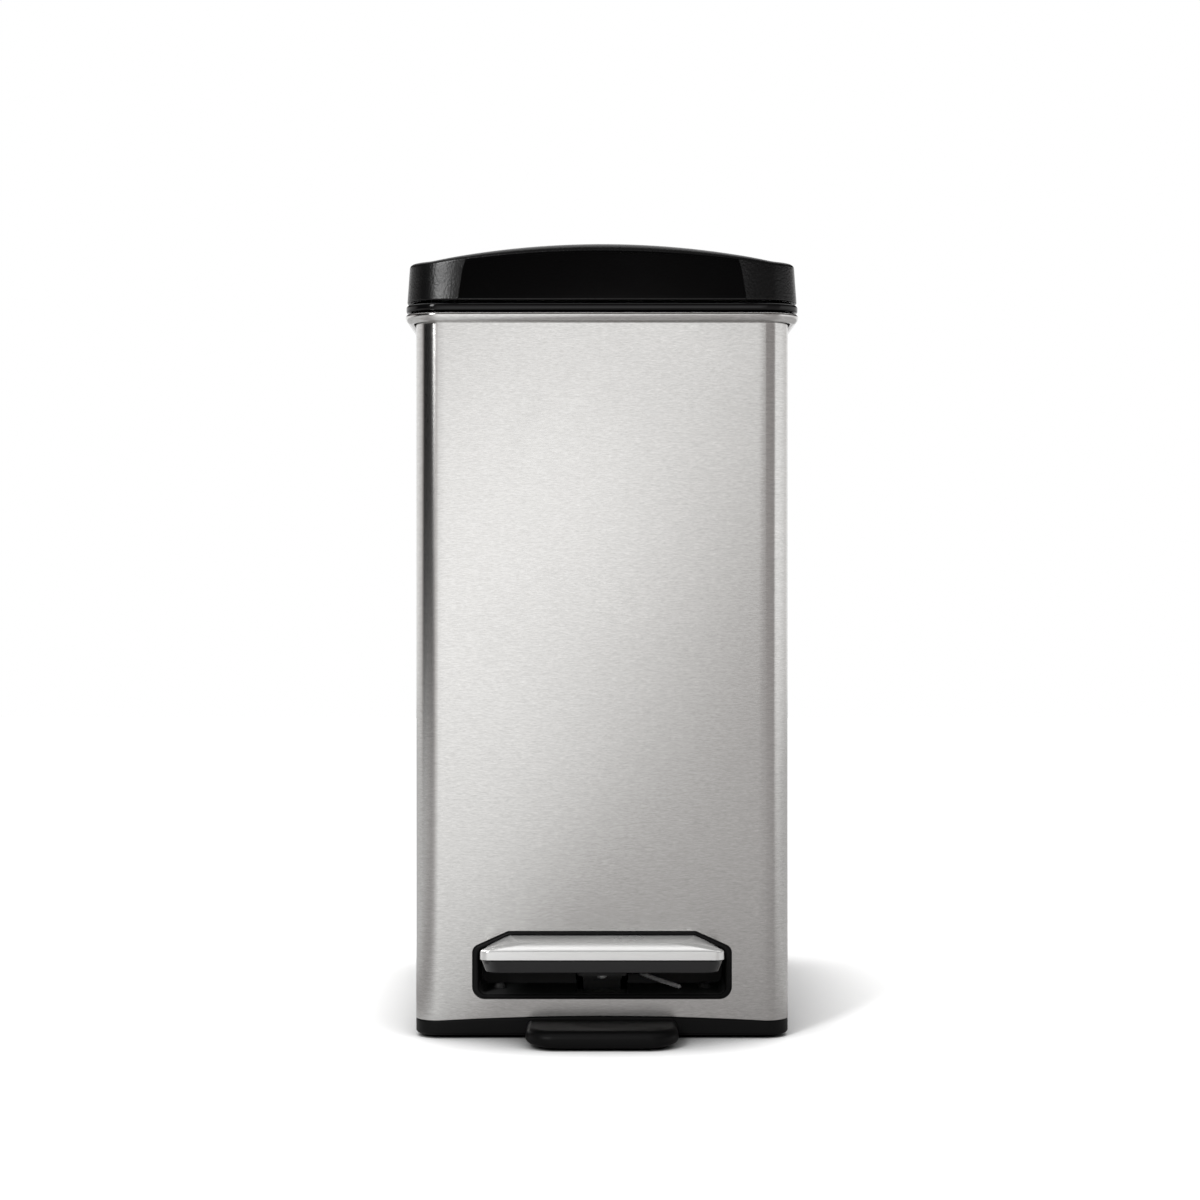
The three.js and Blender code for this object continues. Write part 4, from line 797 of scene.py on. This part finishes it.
LID_X, LID_FRONT, LID_LOW, LID_SIDE = 0.0945, -0.136, 0.354, 0.3728
LID_WALL, LID_DRAFT, LID_EDGE = 0.0024, 0.0012, 0.0007
CROWN, CROWN_HALF, CROWN_BACK, CROWN_LENGTH = 0.0085, 0.0817, 0.104, 0.24
SHOULDER_R, SHOULDER_GAIN = 0.0019, 0.28
BARREL = 0.0094
FLAT_HALF, BEND_R, BEND_TURN = 0.067, 0.06, radians(12.5)
CREASE_LOW, CREASE_TOP, CREASE_RISE = 0.069, 0.0655, 0.0195
RECESS, LEDGE = 0.0007, 0.00035
BACK_R = 0.018
LID_BACK = HINGE_Y + BARREL

lid_black = moulded("grained lid black", (0.0036, 0.0036, 0.0038),
                    (0.0068, 0.0068, 0.007), 0.25, 0.0011, 0.0001, gloss=0.4)
lid_polish = moulded("polished lid black", (0.0014, 0.0014, 0.0015),
                     (0.002, 0.002, 0.0021), 0.07, 0.003, 0.000001, gloss=0.3)


def swell(t, softness):
    """Rises from nothing to t round zero without a corner."""
    return (t + hypot(t, softness)) / 2


def crown(x, y):
    """How far the lid's top stands above its sides: arched across, and falling level at the hinge."""
    along = min(swell((CROWN_BACK - y) / CROWN_LENGTH, 0.03), 1.0)
    return CROWN * swell(1 - (x / CROWN_HALF) ** 2, 0.05) * sin(along * pi / 2)


def crease_at(z):
    """How far out the slanting edge of the polished front is at a height."""
    return CREASE_LOW + (CREASE_TOP - CREASE_LOW) * (z - LID_LOW) / CREASE_RISE


def lid_plan(crease):
    """The lid's plan: place, outward direction, and 1 where the column lies in the polished front."""
    end_x = FLAT_HALF + BEND_R * sin(BEND_TURN)
    end_y = LID_FRONT + BEND_R * (1 - cos(BEND_TURN))
    r = (LID_X - end_x) / (1 - sin(BEND_TURN))
    half = [((crease - LEDGE / 2) * (k + 0.5) / 11.5, LID_FRONT, 0.0, 1) for k in range(12)]
    for k in range(9):
        x = crease + LEDGE / 2 + (end_x - crease - LEDGE / 2) * k / 9
        a = asin(max(0.0, x - FLAT_HALF) / BEND_R)
        half.append((x, LID_FRONT + BEND_R * (1 - cos(a)), a, 0))
    for k in range(15):
        a = BEND_TURN + (pi / 2 - BEND_TURN) * k / 14
        half.append((LID_X - r + r * sin(a), end_y + r * (cos(BEND_TURN) - cos(a)), a, 0))
    side_y = half[-1][1]
    half += [(LID_X, side_y + (LID_BACK - BACK_R - side_y) * k / 14, pi / 2, 0) for k in range(1, 14)]
    for k in range(9):
        a = pi / 2 * (1 + k / 8)
        half.append((LID_X - BACK_R + BACK_R * sin(a), LID_BACK - BACK_R - BACK_R * cos(a), a, 0))
    half += [(x, LID_BACK, pi, 0) for x in (0.064, 0.05, 0.036, 0.022, 0.008)]
    half = [(x, y, sin(a), -cos(a), flat) for x, y, a, flat in half]
    return half + [(-x, y, -nx, ny, flat) for x, y, nx, ny, flat in reversed(half)]


def lid_skin(name, inset, low, edge, recess):
    """The lid's outer or inner face in rings: lower edge, drafted wall, fillet over its shoulder, crown."""
    rings = []

    def ring(crease, level):
        points = []
        for x, y, nx, ny, flat in lid_plan(crease):
            def top_at(push):
                return LID_SIDE + crown(x - nx * push, y - ny * push) - inset

            radius = SHOULDER_R + SHOULDER_GAIN * crown(x, y)
            push, z, sunk = level(radius, top_at(0.0) - radius, top_at)
            points.append((x - nx * (inset + push), y - ny * (inset + push) + recess * flat * sunk, z))
        rings.append(points)

    def wall(share, back=0.0, sunk=1.0):
        start = low + edge
        return lambda radius, shoulder, top_at: (
            LID_DRAFT * (start - LID_LOW + (shoulder - back - start) * share) / (shoulder - LID_LOW),
            start + (shoulder - back - start) * share, sunk)

    def fillet(turn, onward=0.0):
        def level(radius, shoulder, top_at):
            push = LID_DRAFT + radius * (1 - cos(turn)) + onward
            return push, top_at(push) - radius * (1 - sin(turn)), 0.0
        return level

    if edge:
        for turn in (radians(a) for a in (0, 18, 36, 54, 72)):
            z = low + edge * (1 - cos(turn))
            ring(crease_at(z), lambda radius, shoulder, top_at: (edge * (1 - sin(turn)), z, 1.0))
    for share in (0.0, 0.25, 0.5, 0.75):
        ring(crease_at(low + edge + 0.0155 * share), wall(share))
    ring(CREASE_TOP, wall(1.0, LEDGE))
    ring(CREASE_TOP, wall(1.0, 0.0, 0.0))
    for k in range(1, 10):
        ring(CREASE_TOP, fillet(pi / 2 * k / 9))
    for onward in (0.002, 0.004, 0.007, 0.01):
        ring(CREASE_TOP, fillet(pi / 2, onward))
    last = rings[-1]
    centre_y = (LID_FRONT + LID_BACK) / 2
    for share in (1 - k / 14 for k in range(1, 14)):
        shrunk = [(x * share, centre_y + (y - centre_y) * share) for x, y, _ in last]
        rings.append([(x, y, LID_SIDE + crown(x, y) - inset) for x, y in shrunk])
    return skin(name, rings)


def lid_side(low, radius):
    """What the lid keeps in side view: round about the hinge at the back, free above."""
    barrel = arc(HINGE_Y, HINGE_Z, radius, -90, 90, 36)
    view = [(-0.15, low), (HINGE_Y, low), *barrel, (0.1, 0.378), (-0.15, 0.4)]
    return skin("side_view", [across("x", x, view) for x in (-0.1, 0.1)])


lid = lid_skin("lid_moulding", 0.0, LID_LOW, LID_EDGE, RECESS)
combine(lid, [lid_side(LID_LOW - 0.002, BARREL)], "INTERSECT")
hollow = lid_skin("hollow", LID_WALL, LID_LOW - 0.003, 0.0, 0.0)
combine(hollow, [lid_side(LID_LOW - 0.004, BARREL - LID_WALL)], "INTERSECT")
combine(lid, [hollow])
ARM_SCREW_X, ARM_SCREW_Y, _ = middle_of(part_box("lid_arm_screw_right"))
NOTCH_HALF = EAR_HALF + 0.001
for s in (-1, 1):
    for inner in (-1, 1):
        middle = s * EAR_X + inner * (EAR_HALF + 0.0025)
        cheek = [(0.114, 0.3555)] + arc(HINGE_Y, HINGE_Z, BARREL - 0.0008, -60, 90, 20) + [(0.114, 0.3718)]
        join(lid, [skin("cheek", [across("x", middle + d, cheek) for d in (-0.0015, 0.0015)])])
    join(lid, [bar("boss", "z", round_shape(s * ARM_SCREW_X, ARM_SCREW_Y, 0.0034, 24), 0.3689, 0.3715)])
    notch = plate_shape(s * EAR_X - NOTCH_HALF, s * EAR_X + NOTCH_HALF, 0.1185, 0.14, 0.0008, 4)
    combine(lid, [
        bar("notch", "z", notch, 0.35, HINGE_Z + 0.0054),
        bar("pin_bore", "x", round_shape(HINGE_Y, HINGE_Z, PIN_BORE), s * EAR_X - 0.012, s * EAR_X + 0.012),
        bar("screw_hole", "z", round_shape(s * ARM_SCREW_X, ARM_SCREW_Y, 0.0015, 16), 0.368, 0.3714),
    ])
for face in lid.data.polygons:
    x, y, z = face.center
    in_front = y - MID_Y < LID_FRONT + RECESS + LID_DRAFT + 0.0003 and face.normal.y < -0.97
    polished = in_front and abs(x) < crease_at(z) - 0.0001 and z > LID_LOW + LID_EDGE * 0.9
    face.material_index = 1 if polished else 0
fit(lid, "lid", "black_gloss", [lid_black, lid_polish], "lid")

# ------ lid liner, bumpers and hinge pins
# A grey panel clipped into the lid closes its underside, with a bay for the crank. Two rubber pads soften
# the landing, and two plated steel pins through the ears carry the lid.

grey_moulding = moulded("grey moulding", (0.026, 0.027, 0.028), (0.036, 0.037, 0.038), 0.42, 0.0008, 0.00003)


def liner_plan(grow):
    x, front, back = 0.0906 - grow, -0.131 + grow, 0.111 - grow
    bend = 0.015 - grow
    return outline([(-x, front, bend), (x, front, bend), (x, back, 0.003), (-x, back, 0.003)], 10)


sides = [(0.3586, 0.0008), (0.3588, 0.0003), (0.3593, 0.0), (0.3626, 0.0)]
liner = stack("lid_lining", "z", liner_plan, sides)
combine(liner, [stack("room", "z", liner_plan, [(0.3602, 0.0018), (0.364, 0.0018)])])
join(liner, [bar("rib", "y", plate_shape(-0.089, 0.089, 0.3598, 0.3624), y - 0.0009, y + 0.0009)
             for y in (-0.06, 0.0, 0.06)])
groove = stack("groove", "z", liner_plan, [(0.357, 0.0085), (0.3589, 0.0085), (0.3592, 0.0088)])
combine(groove, [stack("island", "z", liner_plan, [(0.356, 0.011), (0.3595, 0.011)])])
combine(liner, [groove, bar("crank_bay", "z", plate_shape(-0.02, 0.02, 0.095, 0.115, 0.003), 0.35, 0.37)])
fit(liner, "lid", "grey_moulded", [grey_moulding], "lid_liner")

for s, name in ((-1, "left"), (1, "right")):
    pad_low, pad_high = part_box(f"lid_bumper_{name}")
    x, y, _ = middle_of((pad_low, pad_high))
    pad = lathe(f"bumper_{name}", x, y, [(0.0015, pad_low.z), (0.0021, pad_low.z + 0.0002),
                                         (0.0026, pad_low.z + 0.0009), (0.0026, pad_high.z)])
    fit(pad, "lid", "rubber", [rubber], f"lid_bumper_{name}")
    pin = bar(f"pin_{name}", "x", round_shape(HINGE_Y, HINGE_Z, PIN_R), s * EAR_X - EAR_HALF - 0.004,
              s * EAR_X + EAR_HALF + 0.004, 0.0005)
    fit(pin, "lid", "zinc", [zinc], f"hinge_pin_{name}")

# ------ crank arm
# A folded steel bracket in black paint, screwed under the lid at the back. Its two cheeks reach down through
# the collar's slot and hold the crank pin that sits in the lift rod's yoke.

keep(painted_steel, "lid_arm")


def pan_screw(name, x, y, seat, head, shank, length, tall):
    """A pan-head screw driven from below, with a cross recess in its head."""
    dome = [(head * cos(a), -tall * 0.4 - tall * 0.6 * sin(a)) for a in (pi / 2 * k / 7 for k in range(8))]
    profile = [(0.0001, length), (shank * 0.7, length), (shank, length - 0.0006), (shank, 0.0), (head, 0.0)]
    profile += dome
    piece = lathe(name, x, y, [(r, seat + z) for r, z in profile], 28)
    bit, reach, face = head * 0.13, head * 0.55, seat - tall
    for half_x, half_y in ((reach, bit), (bit, reach)):
        cross = plate_shape(x - half_x, x + half_x, y - half_y, y + half_y)
        combine(piece, [bar("bit", "z", cross, face - 0.001, face + tall * 0.55)])
    return piece


ARM_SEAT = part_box("lid_arm")[1].z - 0.0022 - 0.0003
for s, name in ((-1, "left"), (1, "right")):
    x = s * ARM_SCREW_X
    head = pan_screw(f"arm_screw_{name}", x, ARM_SCREW_Y, ARM_SEAT, 0.0026, 0.0013, 0.005, 0.0019)
    fit(head, "lid", "zinc", [zinc], f"lid_arm_screw_{name}")
crank_low, crank_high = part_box("crank_pin")
_, crank_y, crank_z = middle_of((crank_low, crank_high))
crank = bar("crank", "x", round_shape(crank_y, crank_z, 0.002), crank_low.x, crank_high.x, 0.0003)
fit(crank, "lid", "zinc", [zinc], "crank_pin")

# ------ pedal
# A stamped stainless cap with bevelled sides folded over a grey moulded tray. One screw from below holds
# both on the end of the lever.

PEDAL_FRONT, PEDAL_BACK, PEDAL_X = -0.1615, -0.11, 0.0572
SEAM, LIP, PLATE_TOP, TOP_HALF = 0.0422, 0.0463, 0.0494, 0.0445
TOP_FRONT = PEDAL_FRONT + 0.0041
GAUGE = 0.0012
LIP_LEAN = 0.0001
FOLD_R = 0.0007
DRAWN_LENGTH = 0.0235
RIM_NARROWS, RIM_FALLS, RIM_CORNER = 0.0175, 0.0027, 0.0042
TOP_NARROWS, TOP_CORNER = 0.125, 0.007
SCREW_Y = -0.112
step_steel = brushed("brushed step", (0.01, 0.0005, 0.0005), (0.87, 0.87, 0.86),
                     (0.94, 0.94, 0.93), 0.26, 0.000004, metal=0.55)


def drawn_in(y):
    """0 at the front edge of the level top, 1 where the cap enters the window."""
    return min(max((y - TOP_FRONT) / DRAWN_LENGTH, 0.0), 1.0)


def cap_plan(half, front, corner):
    return plate_outline(-half, half, front, PEDAL_BACK, corner, 10, (24, 16))


def cap_edge(inset, z=None, drop=0.0):
    """Round the cap's rim; the sides draw in and down a little towards the window."""
    ring = []
    for x, y in cap_plan(PEDAL_X - inset, PEDAL_FRONT + inset, RIM_CORNER - inset * 0.5):
        share = drawn_in(y)
        ring.append((x * (1 - RIM_NARROWS * share), y, LIP - RIM_FALLS * share - drop if z is None else z))
    return ring


def cap_top(inset, drop):
    """Round the level top, which widens towards the window."""
    return [(x * (1 - TOP_NARROWS * (1 - drawn_in(y))), y, PLATE_TOP - drop)
            for x, y in cap_plan(TOP_HALF - inset * 0.3, TOP_FRONT + inset, TOP_CORNER)]


def along_bevel(low, high, share, lift):
    """A ring part of the way from the low one to the high one, raised by `lift`."""
    return [tuple(p + (q - p) * share + up for p, q, up in zip(a, b, (0, 0, lift)))
            for a, b in zip(low, high)]


def cap_skin(inset):
    """The cap's outer or inner face from the seam up: lip, folded edge, bevel, and the level top."""
    rim = cap_edge(inset + LIP_LEAN, drop=inset)
    level = cap_top(inset, inset)
    rings = [cap_edge(inset, SEAM), cap_edge(inset + LIP_LEAN * 0.85, drop=inset + FOLD_R)]
    rings += [along_bevel(rim, level, 0.06 * (1 - cos(turn)), FOLD_R * (sin(turn) - 1))
              for turn in (pi / 8 * k for k in range(1, 4))]
    rings += [along_bevel(rim, level, share, 0.00004 + 0.0003 * sin(pi * share))
              for share in (0.07, 0.18, 0.32, 0.46, 0.6, 0.74, 0.86)]
    rings += [along_bevel(rim, level, share, lift)
              for share, lift in ((0.94, 0.00003), (1.0, -0.00003), (1.06, -0.00001))]
    inner = cap_top(inset + 0.004, inset)
    middle_y = TOP_FRONT + 0.022
    rings += [inner, [(x * 0.3, middle_y + (y - middle_y) * 0.3, z) for x, y, z in inner]]
    return rings


cap = skin("pedal_cap", list(reversed(cap_skin(GAUGE))) + cap_skin(0.0))
fit(cap, "pedal", "stainless_step", [step_steel], "pedal_plate", crease=50)

TRAY_LOW, TRAY_INSET = 0.0357, 0.0021
LEVER_TOP = 0.0307


def tray_plan(inset):
    return plate_outline(-PEDAL_X + inset, PEDAL_X - inset, PEDAL_FRONT + inset * 1.15, PEDAL_BACK, 0.007, 10)


tray_wall = [(TRAY_LOW, TRAY_INSET + 0.0009), (TRAY_LOW + 0.0003, TRAY_INSET + 0.0003),
             (TRAY_LOW + 0.0009, TRAY_INSET), (SEAM - 0.0008, 0.0005), (SEAM - 0.0003, 0.0009)]
tray = stack("pedal_body", "z", tray_plan, tray_wall)
core = [[(x, y, min(z, PLATE_TOP - GAUGE - 0.0003)) for x, y, z in ring] for ring in cap_skin(GAUGE + 0.0003)]
join(tray, [skin("core", [[(x, y, SEAM - 0.002) for x, y, _ in core[0]]] + core[1:])])
tail, boss = plate_shape(-0.07, 0.07, 0.0, 0.06), plate_shape(-0.011, 0.011, -0.121, -0.103, 0.003)
combine(tray, [bar("tail", "y", tail, PEDAL_BACK - 0.001, PEDAL_BACK + 0.02)])
join(tray, [bar("screw_boss", "z", boss, LEVER_TOP + 0.0003, TRAY_LOW + 0.002, 0.0003)])
combine(tray, [bar("screw_hole", "z", round_shape(0, SCREW_Y, 0.0015, 16), 0.028, 0.039)])
tray_grey = moulded("tray grey", (0.014, 0.014, 0.015),
                    (0.02, 0.02, 0.021), 0.18, 0.0008, 0.00001, coat=0.3)
fit(tray, "pedal", "grey_moulded", [tray_grey], "pedal_tray")

bright_plate = plated("bright plating", (0.82, 0.82, 0.81), (0.9, 0.9, 0.89), 0.35, 0.46, 0.56)
head = pan_screw("step_screw", 0.0, SCREW_Y, 0.0284, 0.0024, 0.0013, 0.009, 0.0026)
fit(head, "pedal", "zinc", [bright_plate], "pedal_screw")

# ------ return spring
# A torsion spring of plated wire: two turns round the axle, one end hooked over the lever and the other
# lying out on the floor of the housing, where it shows below the pedal.

WIRE = 0.0011
TIP = 0.55
COIL_R, COIL_START, COIL_LONG = 0.0049, 0.0139, 0.0045
_, PIVOT_Y, PIVOT_Z = middle_of(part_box("pivot_axle"))
HOOK_Z = LEVER_TOP + WIRE + 0.0003
route = [(0.0084, -0.047, HOOK_Z), (0.0122, -0.047, HOOK_Z), (0.0138, -0.048, 0.0304),
         (COIL_START, -0.056, 0.0296)]
for k in range(49):
    a = radians(90 + 720 * k / 48)
    route.append((COIL_START + COIL_LONG * k / 48, PIVOT_Y + COIL_R * cos(a), PIVOT_Z + COIL_R * sin(a)))
route += [(0.0184, -0.076, 0.029), (0.0182, -0.09, 0.028), (0.0186, -0.097, 0.0272), (0.022, -0.103, 0.026),
          (0.0375, -0.117, 0.02275)]


def wire_path(points, steps):
    """A smooth line through the points."""
    points = [Vector(p) for p in points]
    ends = [points[0] * 2 - points[1]] + points + [points[-1] * 2 - points[-2]]
    line = []
    for i in range(1, len(ends) - 2):
        p0, p1, p2, p3 = ends[i - 1:i + 3]
        for k in range(steps):
            t = k / steps
            line.append(0.5 * (2 * p1 + (p2 - p0) * t + (2 * p0 - 5 * p1 + 4 * p2 - p3) * t * t
                               + (3 * p1 - p0 - 3 * p2 + p3) * t ** 3))
    return line + [points[-1]]


line = wire_path(route, 3)
rings = []
side = Vector((0, 0, 1))
for i, point in enumerate(line):
    onward = (line[min(i + 1, len(line) - 1)] - line[max(i - 1, 0)]).normalized()
    side = (side - onward * side.dot(onward)).normalized()
    other = onward.cross(side)
    rings.append([tuple(point + (side * cos(a) + other * sin(a)) * WIRE)
                  for a in (tau * k / 14 for k in range(14))])
    if i in (0, len(line) - 1):
        beyond = onward * WIRE * (TIP if i else -TIP)
        tip = [tuple(point + (Vector(p) - point) * TIP + beyond) for p in rings[-1]]
        rings.insert(len(rings) if i else 0, tip)
spring = skin("torsion_spring", rings)
fit(spring, None, "zinc", [bright_plate], "return_spring")
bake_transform(spring)
